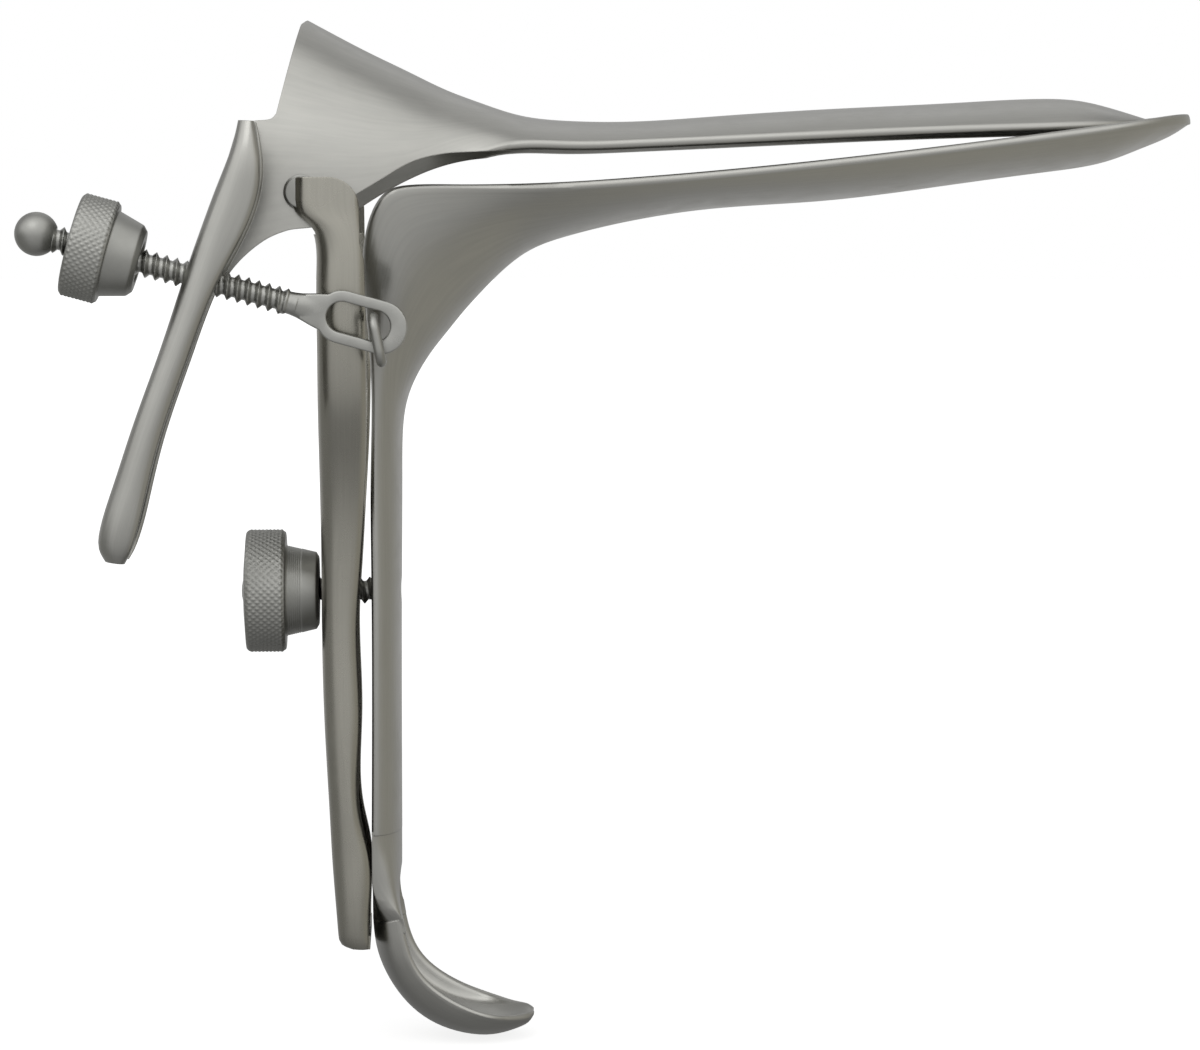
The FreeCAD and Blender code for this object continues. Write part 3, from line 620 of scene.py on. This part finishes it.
def upper_blade():
    """Blade, deep mouth and side plate, with the thumb lever below the plate."""
    sheet_rows = [
        (-25.5, 58.6, -17.5, 97.8, 19.0, 88, 0.62),
        (-17.0, 61.5, -10.0, 93.9, 19.0, 88, 0.62),
        (-8.2, 64.5, -2.6, 90.0, 18.9, 88, 0.64),
        (0.2, 68.0, 3.2, 87.2, 18.2, 84, 0.7),
        (6.1, 72.9, 7.8, 85.0, 16.7, 76, 0.8),
        (11.8, 76.3, 12.2, 83.35, 15.3, 68, 0.9),
        (17, 77.35, 17, 81.85, 14.5, 62, 1.0),
        (22.5, 77.3, 22.5, 81.2, 14.2, 60, 1.0),
        (31, 77.5, 31, 81.1, 14.0, 60, 1.0),
        (42, 78.0, 42, 81.8, 14.0, 60, 1.0),
        (57, 78.7, 57, 82.75, 14.2, 60, 1.0),
        (72, 79.3, 72, 83.5, 14.1, 60, 1.0),
        (82, 79.6, 82, 84.0, 13.6, 60, 1.0),
        (87.5, 79.8, 87.5, 83.8, 12.3, 60, 1.0),
        (91.5, 79.95, 91.5, 82.9, 10.1, 60, 1.0),
        (94.7, 80.1, 94.7, 81.9, 7.0, 60, 1.0),
        (96.4, 80.2, 96.4, 81.2, 3.8, 60, 1.0),
        (96.9, 80.3, 96.9, 80.75, 1.3, 60, 1.0),
    ]
    lobe = 4.4
    side = [(-8.0, 98), (-9.55, 93.7), (-10.3, 92.9), (-13.05, 81.6)]
    side += flowing([(-13.05, 81.6), (-13.8, 80.95), (-15.7, 80.75), (-17.6, 80.4)])[1:]
    side += [(-21.0, 69), (-23.3, 62.0)]
    side += flowing([(-20.3, 60.2), (-17.6, 63.7), (-14.6, 66.2), (-11.9, 67.4),
                     (PIVOT[0], PIVOT[1] - lobe)])[:-1]
    side += arc(PIVOT, lobe, -90, -45)
    side += flowing([(-6.0, 68.6), (-0.9, 71.9), (3.2, 74.1), (7.0, 75.6), (11, 76.5), (16, 76.9)])[1:]
    side += [(30, 76), (110, 76), (110, 98)]
    near = arc(PIVOT, lobe, -45, -25)
    near += flowing([(-6.0, 70.25), (-0.9, 73.3), (3.2, 75.7), (7.0, 76.75), (11, 77.05), (18, 77.35)])[1:]
    near += [(18, 60), (-4, 60)]
    beyond = flowing([(-12.8, 83.6), (-14.2, 77.6), (PIVOT[0] - lobe, PIVOT[1])])[:-1]
    beyond += arc(PIVOT, lobe, 180, 262)
    beyond += [(-10.6, 60), (-35, 55), (-35, 86)]
    blade = bent_sheet("upper_blade_sheet", sheet_rows, blade_faces, BLADE_SHEET)
    blade = combine(blade, "INTERSECT", outline_slab("keep", side, -30, 30))
    blade = combine(blade, "DIFFERENCE", outline_slab("far_side", beyond, -9.5, 30),
                    outline_slab("near_side", near, -30, 0))
    blade = combine(blade, "UNION", thumb_lever())
    slot = outline_slab("slot", lever_slot(), EYE_Y - 2.22, EYE_Y + 2.22)
    return soften(combine(blade, "DIFFERENCE", slot))


def thumb_lever():
    """Channel-shaped lever whose near leg bows out under the thumb."""
    rows = [
        (-15.2, 80.5, -17.25, 80.6, -26.6, -17.9, 1.5, 0.1),
        (-14.7, 77.6, -17.9, 77.8, -27.6, -17.9, 1.9, 0.2),
        (-14.7, 72.8, -19.7, 73.1, -28, -17.9, 2.4, 0.3),
        (-16.4, 67.6, -21.5, 68.4, -28, -17.9, 2.4, 0.3),
        (-19.4, 61.8, -23.6, 62.6, -28, -17.9, 2.4, 0.3),
        (-23.3, 52.0, -26.8, 53.1, -28, -16.65, 2.2, 0.3),
        (-26.65, 42.6, -30.1, 44.1, -28, -15.6, 2.2, 0.3),
        (-28.5, 35.6, -32.6, 36.7, -28, -15.6, 2.4, 0.3),
        (-29.7, 31.0, -34.1, 31.9, -27.9, -15.7, 2.4, 0.3),
        (-30.5, 28.7, -34.3, 29.4, -27.3, -16.3, 2.1, 0.3),
        (-31.1, 27.5, -33.6, 27.8, -26.2, -17.4, 1.6, 0.2),
    ]
    return bent_sheet("thumb_lever", rows, channel_faces, BLADE_SHEET)


def lever_slot():
    """Long hole in the lever's web, seen from the side, that the screw passes through."""
    across = Vector((-SCREW_AXIS.z, 0, SCREW_AXIS.x)) * -1
    corners = []
    for along, lift in ((18, -3.8), (28, -3.8), (28, 3.8), (18, 3.8)):
        spot = screw_point(along) + across * lift
        corners.append((spot.x, spot.z))
    return corners


# ---------------------------------------------------------------- yoke

def forked_yoke():
    """Channel with a closed heel below and two arms above that end in ears."""
    rows = [
        (-2.25, -22.9, -4.9, -22.9, -8.4, 8.4, 1.6, 0.1),
        (-2.25, -22.4, -5.9, -22.4, -8.8, 8.8, 2.0, 0.2),
        (-2.25, -21.1, -6.3, -21.1, -9, 9, 2.2, 0.3),
        (-2.25, -11, -7.05, -11, -9, 9, 2.6, 0.4),
        (-3.0, -7, -7.25, -7, -9, 9, 2.6, 0.4),
        (-3.25, 6, -7.9, 6, -9, 9, 2.6, 0.4),
        (-3.5, 18.5, -8.15, 18.5, -9, 9, 2.6, 0.4),
        (-3.15, 25, -8.15, 25, -9.4, 9.4, 2.6, 0.4),
        (-2.75, 32, -8.2, 32, -10.6, 10.6, 2.8, 0.4),
        (-2.35, 40, -8.25, 40, -14.4, 14.4, 2.8, 0.4),
        (-2.2, 47, -8.25, 47, -18.94, 18.94, 2.8, 0.4),
        (-2.2, 54, -8.25, 54, -20.64, 20.64, 2.8, 0.4),
        (-2.3, 62, -8.25, 62, -21.14, 21.14, 2.8, 0.4),
        (-2.5, 66.5, -8.4, 66.5, -21.14, 21.14, 2.6, 0.35),
        (-2.7, 68.3, -9.1, 68.1, -21.14, 21.14, 2.3, 0.3),
        (-2.9, 70.0, -10.8, 69.7, -21.14, 21.14, 2.1, 0.25),
        (-3.0, 72.0, -11.2, 72.0, -21.14, 21.14, 2.1, 0.2),
        (-3.0, 75.0, -11.2, 75.0, -21.14, 21.14, 2.1, 0.2),
    ]
    yoke = bent_sheet("forked_yoke", rows, channel_faces, YOKE_SHEET)
    half = flowing([(0, 34), (2.4, 34.7), (5.4, 37.2), (11.3, 44), (16.64, 51), (18.14, 58)])
    window = [(-y, z) for y, z in reversed(half[1:])] + half + [(18.14, 80), (-18.14, 80)]
    count = len(window)
    points = [(-20, y, z) for y, z in window] + [(10, y, z) for y, z in window]
    faces = [tuple(range(count)), tuple(range(count, 2 * count))[::-1]]
    faces += [(i, (i + 1) % count, (i + 1) % count + count, i + count) for i in range(count)]
    yoke = combine(yoke, "DIFFERENCE", face_out(mesh_object("window", points, faces)))
    above = outline_slab("above", [(5, 60), (5, 80), (-15, 80), (-15, 73.0), (-10.6, 73.0)]
                         + arc((-10.2, 73.0), 0.9, 180, 90, 6)[1:]
                         + arc((-6.7, 70.2), 3.7, 90, 0) + [(-2.95, 66), (-1.5, 60)], -30, 30)
    curl = outline_slab("curl", [(-20, 67), (10, 67), (10, 80), (-20, 80)], -EAR_INNER_Y, EAR_INNER_Y)
    yoke = combine(yoke, "DIFFERENCE", above, curl)
    heel = outline_slab("heel", [(-2.25, -22.9), (-4.4, -22.9), (-5.3, -22.4), (-5.8, -21.6),
                                 (-5.8, -21.2), (-2.25, -21.2)], -8.1, 8.1)
    yoke = combine(yoke, "UNION", heel)
    slot = outline_slab("slot", [(-20, -6.2), (0, -6.2), (0, 21.8), (-20, 21.8)], -2.05, 2.05)
    ends = [put_in_place(turned("end", [(0, 0), (0, 2.05), (20, 2.05), (20, 0)], (-20, 0, z), (1, 0, 0),
                                closed=False, ease=0, around=48)) for z in (-6.2, 21.8)]
    return soften(combine(yoke, "DIFFERENCE", slot, *ends))


def pivot_disc(name, side):
    """Trunnion between an ear and the mouth's wall, with a flange outside and a head inside."""
    flange = WALL_Y + 0.12
    head = WALL_Y - BLADE_SHEET - 0.6
    profile = [(0, 0), (0, 2.1), (0.5, 2.3), (0.5, 1.2), (flange - head + 0.5, 1.2),
               (flange - head + 0.5, 2.15), (flange - head + 0.9, 2.15), (flange - head + 1.0, 1.9),
               (ARM_OUTER_Y - 0.7 - head + 0.5, 1.9), (ARM_OUTER_Y - 0.7 - head + 0.5, 0)]
    return soften(put_in_place(turned(name, profile, (PIVOT[0], side * (head - 0.5), PIVOT[1]), (0, side, 0),
                                      closed=False, ease=0.1, around=64)))


def eye_staple():
    """Wire staple on the near arm that the screw's eye hooks on."""
    foot, reach, corner, wire = -(ARM_OUTER_Y - 1.1), -24.7, 1.5, 0.64
    high, low, lean = STAPLE_Z - 0.3, STAPLE_Z - 5.6, 0.2
    line = [(foot, high)]
    line += arc((reach + corner, high - corner), corner, 90, 180)
    line += arc((reach + corner, low + corner), corner, 180, 270)
    line += [(foot, low)]
    line = np.array(line)
    along = unit(np.gradient(line, axis=0))
    points, faces, around = [], [], 20
    for (y, z), (dy, dz) in zip(line, along):
        for a in np.arange(around) * 2 * math.pi / around:
            points.append((EYE_X - lean * (z - (high + low) / 2) + wire * math.cos(a), y - dz * wire * math.sin(a), z + dy * wire * math.sin(a)))
    for i in range(len(line) - 1):
        for j in range(around):
            k = (j + 1) % around
            faces.append((i * around + j, i * around + k, (i + 1) * around + k, (i + 1) * around + j))
    faces += [tuple(range(around)), tuple(range(len(points) - around, len(points)))]
    return soften(face_out(mesh_object("eye_staple", points, faces)))


# ---------------------------------------------------------------- screws and nuts

def slide_stud(tree, metal):
    """Threaded stud riveted in the handle, which the handle's nut runs on."""
    profile = [(-0.95, 0), (-0.95, 2.9), (-0.25, 2.9), (-0.25, 1.75), (18.3, 1.75), (18.62, 1.35), (18.75, 0.7), (18.75, 0)]
    stud = turned("slide_stud", profile, (1.9 - 1.3 - 0.25, 0, STUD_Z), (-1, 0, 0),
                  closed=False, ease=0, around=48, fine=0.1)
    stud = cut_grooves(stud, tree, metal, {
        "Band start": 1.4, "Band end": 21.5, "Run out": 0.4, "Outside radius": 1.75, "Pitch": 1.27,
        "Starts": 1, "Depth": 0.55, "Flank": 1.5, "Crossed": 0})
    return soften(put_in_place(stud))


def eyelet_screw(tree, metal):
    """Threaded rod that ends in a flattened eye."""
    end = 42.25 - 0.8 * 2.65
    rod = turned("eyelet_screw", [(0, 0), (0, 1.35), (1.1, 1.35), (1.45, 1.72), (end - 10, 1.72), (end - 10, 0)],
                 screw_point(10), SCREW_AXIS, closed=False, ease=0, around=48, fine=0.1)
    rod = cut_grooves(rod, tree, metal, {
        "Band start": 1.2, "Band end": end, "Run out": 0.8, "Outside radius": 1.72, "Pitch": 1.27,
        "Starts": 1, "Depth": 0.55, "Flank": 1.5, "Crossed": 0})
    rod = put_in_place(rod)
    rod = combine(rod, "UNION", eye_plate(), eye_neck())
    return soften(rod)


def eye_plate():
    """The eye: a flat bar with a long hole, its edges rounded."""
    tail, head, outer, inner, thick = -0.5, 4.4, 3.2, 1.86, 1.5
    steps = 14
    around = arc((tail, 0), outer, 90, 270, steps)
    hole = arc((tail + 0.8, 0), inner, 90, 270, steps)
    nose = arc((head, 0), outer, -90, -44, 4) + [(7.9, -1.95), (9.4, -1.5)]
    nose = flowing(nose, 2)
    nose = nose + [(x, -y) for x, y in reversed(nose)]
    around += nose
    hole += arc((head, 0), inner, -90, 90, len(nose) - 1)
    count = len(around)
    lift = Vector((SCREW_AXIS.z, 0, -SCREW_AXIS.x))
    points = []
    for loop in (around, hole):
        for y in (EYE_Y - thick / 2, EYE_Y + thick / 2):
            points += [tuple(screw_point(a, y) + lift * b) for a, b in loop]
    faces = []
    for i in range(count):
        k = (i + 1) % count
        faces += [(i, k, k + 2 * count, i + 2 * count), (i + count, k + count, k + 3 * count, i + 3 * count),
                  (i, k, k + count, i + count), (i + 2 * count, k + 2 * count, k + 3 * count, i + 3 * count)]
    plate = face_out(mesh_object("eye_plate", points, faces))
    edge = plate.modifiers.new("round", "BEVEL")
    edge.width = 0.2 * MM
    edge.segments = 3
    edge.limit_method = "ANGLE"
    edge.angle_limit = math.radians(60)
    return settle(plate)


def eye_neck():
    """The forged stretch between the flat eye and the round rod."""
    rows = [(7.0, 2.2, 0.7), (7.9, 2.0, 0.78), (8.8, 1.75, 0.95), (9.7, 1.52, 1.2), (10.5, 1.4, 1.35), (11.2, 1.35, 1.35)]
    lift = Vector((SCREW_AXIS.z, 0, -SCREW_AXIS.x))
    around = 40
    points, faces = [], []
    for along, high, wide in rows:
        for a in np.arange(around) * 2 * math.pi / around:
            points.append(tuple(screw_point(along, EYE_Y + wide * math.cos(a)) + lift * high * math.sin(a)))
    for i in range(len(rows) - 1):
        for j in range(around):
            k = (j + 1) % around
            faces.append((i * around + j, i * around + k, (i + 1) * around + k, (i + 1) * around + j))
    faces += [tuple(range(around)), tuple(range(len(points) - around, len(points)))]
    return face_out(mesh_object("eye_neck", points, faces))


def ball_end():
    """Ball on the screw's end, turned with a short flat where it meets the thread."""
    radius = 2.65
    profile = [(-radius * math.cos(math.radians(a)), radius * math.sin(math.radians(a)))
               for a in np.linspace(34, 180, 40)]
    profile = [(profile[0][0], 0)] + profile[:-1] + [(radius, 0)]
    return soften(put_in_place(turned("ball_end", profile, screw_point(42.25), SCREW_AXIS,
                                      closed=False, ease=0, around=72)))


def lever_thumb_nut(tree, metal):
    """Knurled nut whose cone bears on the lever."""
    profile = [(0, 1.77), (0, 5.9), (0.35, 6.35), (4.3, 6.35), (4.65, 5.95), (4.65, 5.3),
               (7.9, 4.4), (8.5, 3.75), (8.5, 2.6), (7.9, 2.3), (7.9, 1.77)]
    nut = turned("lever_thumb_nut", profile, screw_point(38), SCREW_AXIS * -1, around=400, fine=0.12)
    nut = cut_grooves(nut, tree, metal, {
        "Band start": 0.1, "Band end": 4.6, "Run out": 0.25, "Outside radius": 6.35, "Pitch": 0.93,
        "Starts": 50, "Depth": 0.15, "Flank": 1.15, "Crossed": 1})
    return soften(put_in_place(nut), 50)


def handle_thumb_nut(tree, metal):
    """Knurled nut with a domed face, and tool rings left on its neck."""
    profile = [(0, 1.8), (0, 4.3), (0.35, 4.9), (1.3, 5.12)]
    for i in range(7):
        profile += [(2.2 + i * 0.26, 5.34 + i * 0.06), (2.28 + i * 0.26, 5.28 + i * 0.06)]
    profile += [(4.2, 5.85), (4.2, 7.4), (4.6, 7.8), (8.8, 7.8), (9.2, 7.4), (9.35, 5.6), (9.5, 3.9), (9.5, 1.8)]
    nut = turned("handle_thumb_nut", profile, (-8.6, 0, STUD_Z), (-1, 0, 0), ease=0.06, around=480, fine=0.12)
    nut = cut_grooves(nut, tree, metal, {
        "Band start": 4.25, "Band end": 9.15, "Run out": 0.25, "Outside radius": 7.8, "Pitch": 0.95,
        "Starts": 60, "Depth": 0.15, "Flank": 1.15, "Crossed": 1})
    return soften(put_in_place(nut), 50)


# ---------------------------------------------------------------- studio

def backdrop_white(name, colour, near, far):
    """Matt board that looks white to the camera and in reflections, and keeps the shadow.

    The lamps light it by the object, so its own glow is near there and far away from them.
    """
    material = bpy.data.materials.new(name)
    material.use_nodes = True
    tree = material.node_tree
    tree.nodes.clear()
    path = add(tree, "ShaderNodeLightPath").outputs
    seen = add(tree, "ShaderNodeMath", {0: path["Is Camera Ray"], 1: path["Is Glossy Ray"]}, operation="ADD")
    seen = add(tree, "ShaderNodeMath", {0: seen.outputs["Value"], 1: path["Is Transmission Ray"]},
               operation="ADD", use_clamp=True)
    place = add(tree, "ShaderNodeTexCoord").outputs["Object"]
    away = add(tree, "ShaderNodeVectorMath", {0: place}, operation="LENGTH").outputs["Value"]
    share = add(tree, "ShaderNodeMapRange", {"Value": away, "From Min": 0.15, "From Max": 1.1,
                                             "To Min": near, "To Max": far}, interpolation_type="SMOOTHSTEP")
    glow = add(tree, "ShaderNodeMath", {0: seen.outputs["Value"], 1: share.outputs["Result"]},
               operation="MULTIPLY")
    board = add(tree, "ShaderNodeBsdfDiffuse", {"Color": linear(colour)})
    light = add(tree, "ShaderNodeEmission", {"Color": (1, 1, 1, 1), "Strength": glow.outputs["Value"]})
    both = add(tree, "ShaderNodeAddShader", {0: board.outputs["BSDF"], 1: light.outputs["Emission"]})
    add(tree, "ShaderNodeOutputMaterial", {"Surface": both.outputs["Shader"]})
    return material


def studio():
    """A pale table, white all round, soft lamps, and a grey tent that only reflections see."""
    floor_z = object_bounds()[0].z - 0.3 * MM
    bpy.ops.mesh.primitive_circle_add(vertices=96, radius=6, fill_type="NGON", location=(0, 0, floor_z))
    floor = bpy.context.object
    floor.name = "table"
    floor.data.materials.append(backdrop_white("matt_white_board", "#E6E6E6", 0.8, 1.0))
    world = bpy.data.worlds.new("white_room")
    world.use_nodes = True
    bpy.context.scene.world = world
    tree = world.node_tree
    path = add(tree, "ShaderNodeLightPath").outputs
    seen = add(tree, "ShaderNodeMath", {0: path["Is Camera Ray"], 1: path["Is Glossy Ray"]}, operation="ADD")
    seen = add(tree, "ShaderNodeMath", {0: seen.outputs["Value"], 1: path["Is Transmission Ray"]},
               operation="ADD", use_clamp=True)
    shade = add(tree, "ShaderNodeMix", {"Factor": seen.outputs["Value"], "A": linear("#8A8A8A"),
                                        "B": (1, 1, 1, 1)}, data_type="RGBA")
    tree.links.new(socket(shade, "Result", "RGBA"), tree.nodes["Background"].inputs["Color"])
    lamps = (("key", (-0.35, -0.75, 0.95), 0.7, 1.5), ("fill", (0.9, -0.5, 0.5), 0.8, 0.6),
             ("back", (0.1, 0.9, 0.9), 0.8, 0.6))
    for name, place, size, power in lamps:
        lamp = bpy.data.lights.new(name, "AREA")
        lamp.shape = "SQUARE"
        lamp.size = size
        lamp.energy = power
        holder = bpy.data.objects.new(name, lamp)
        holder.location = place
        holder.rotation_mode = "QUATERNION"
        holder.rotation_quaternion = (Vector((0.03, 0, 0.04)) - Vector(place)).to_track_quat("-Z", "Y")
        bpy.context.scene.collection.objects.link(holder)
    tent = grey_tent(floor_z)


def grey_tent(floor_z):
    """Cloth tent round the table: light above, dim below and dark at its sides."""
    bpy.ops.mesh.primitive_uv_sphere_add(segments=48, ring_count=24, radius=2.0, location=(0, 0, 0))
    tent = bpy.context.object
    cloth = bmesh.new()
    cloth.from_mesh(tent.data)
    bmesh.ops.create_circle(cloth, cap_ends=True, segments=48, radius=1.99,
                            matrix=Matrix.Translation((0, 0, floor_z + 0.2 * MM)))
    cloth.to_mesh(tent.data)
    cloth.free()
    tent.name = "grey_tent"
    for ray in ("camera", "diffuse", "transmission", "shadow", "volume_scatter"):
        setattr(tent, "visible_" + ray, False)
    material = bpy.data.materials.new("tent_cloth")
    material.use_nodes = True
    tree = material.node_tree
    tree.nodes.clear()
    place = add(tree, "ShaderNodeTexCoord").outputs["Object"]
    way = add(tree, "ShaderNodeSeparateXYZ",
              {"Vector": add(tree, "ShaderNodeVectorMath", {0: place}, operation="NORMALIZE").outputs["Vector"]}).outputs
    front = add(tree, "ShaderNodeMath", {0: way["Y"], 1: -1.0}, operation="MULTIPLY").outputs["Value"]
    height = add(tree, "ShaderNodeMath", {0: way["Z"], 1: front}, operation="ARCTAN2").outputs["Value"]
    share = add(tree, "ShaderNodeMapRange", {"Value": height, "From Min": -math.pi, "From Max": math.pi})
    ramp = add(tree, "ShaderNodeValToRGB", {"Fac": share.outputs["Result"]})
    stops = ((0.0, 0.45), (0.05, 0.3), (0.25, 0.17), (0.4, 0.27), (0.44, 0.38), (0.485, 0.5),
             (0.515, 0.74), (0.56, 0.92), (0.65, 1.0), (0.74, 0.98), (0.79, 0.45), (0.85, 0.32),
             (0.95, 0.34), (1.0, 0.45))
    points = ramp.color_ramp.elements
    while len(points) < len(stops):
        points.new(0.5)
    for point, (position, level) in zip(points, stops):
        point.position = position
        point.color = (level, level, level, 1)
    left = add(tree, "ShaderNodeMapRange",
               {"Value": way["X"], "From Min": -0.7, "From Max": -0.95}, interpolation_type="SMOOTHSTEP")
    low = add(tree, "ShaderNodeMapRange", {"Value": way["Z"], "From Min": 0.35, "From Max": 0.05})
    left = add(tree, "ShaderNodeMath", {0: left.outputs["Result"], 1: low.outputs["Result"]},
               operation="MULTIPLY")
    right = add(tree, "ShaderNodeMapRange",
                {"Value": way["X"], "From Min": 0.45, "From Max": 0.95}, interpolation_type="SMOOTHSTEP")
    dark = add(tree, "ShaderNodeMix", {"Factor": left.outputs["Value"], "A": ramp.outputs["Color"],
                                       "B": linear("#858583")}, data_type="RGBA")
    warm = add(tree, "ShaderNodeMix", {"Factor": right.outputs["Result"], "A": socket(dark, "Result", "RGBA"),
                                       "B": linear("#A3A19A")}, data_type="RGBA")
    glow = add(tree, "ShaderNodeEmission", {"Color": socket(warm, "Result", "RGBA"), "Strength": 1.45})
    add(tree, "ShaderNodeOutputMaterial", {"Surface": glow.outputs["Emission"]})
    tent.data.materials.append(material)
    return tent


# ---------------------------------------------------------------- the instrument

def finish_piece(piece, body, nodes, metal):
    """Its metal, and the body and CAD nodes that it stands for."""
    piece.data.materials.clear()
    piece.data.materials.append(metal)
    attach(piece, body)
    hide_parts(*nodes)


aim_camera()
satin_sheet = steel("satin_brushed_stainless_sheet", "#A9A8A3", "#9A9A96", 0.33, (9, 0.35, 0.35), 0.012, "UV")
bead_sheet = steel("satin_polished_yoke_stainless", "#A3A198", "#96948C", 0.28, (9, 0.5, 0.5), 0.003, "UV")
turned_metal = steel("turned_stainless", "#9C9C98", "#8C8C88", 0.42, (3, 3, 3), 0.003, "Object")
thread_metal = steel("rolled_thread_stainless", "#A4A4A0", "#92928E", 0.3, (2, 2, 2), 0.004, "Object")
grooves = groove_tree()

finish_piece(lower_blade(), "lower_blade_body", ["lower_blade"], satin_sheet)
finish_piece(slide_stud(grooves, thread_metal), "lower_blade_body", ["handle_stud"], thread_metal)
finish_piece(upper_blade(), "upper_blade_body", ["upper_blade"], satin_sheet)
finish_piece(forked_yoke(), "yoke_body", ["yoke"], bead_sheet)
finish_piece(eye_staple(), "yoke_body", ["staple"], turned_metal)
finish_piece(pivot_disc("near_pivot", -1), "yoke_body", ["pivot_near"], turned_metal)
finish_piece(pivot_disc("far_pivot", 1), "yoke_body", ["pivot_far"], turned_metal)
finish_piece(eyelet_screw(grooves, thread_metal), "eyelet_rod_body", ["eyelet_rod"], thread_metal)
finish_piece(ball_end(), "eyelet_rod_body", ["rod_ball"], turned_metal)
finish_piece(lever_thumb_nut(grooves, turned_metal), "lever_nut_body", ["lever_nut"], turned_metal)
finish_piece(handle_thumb_nut(grooves, turned_metal), "handle_nut_body", ["handle_nut"], turned_metal)

studio()
bpy.context.scene.view_settings.view_transform = "Standard"
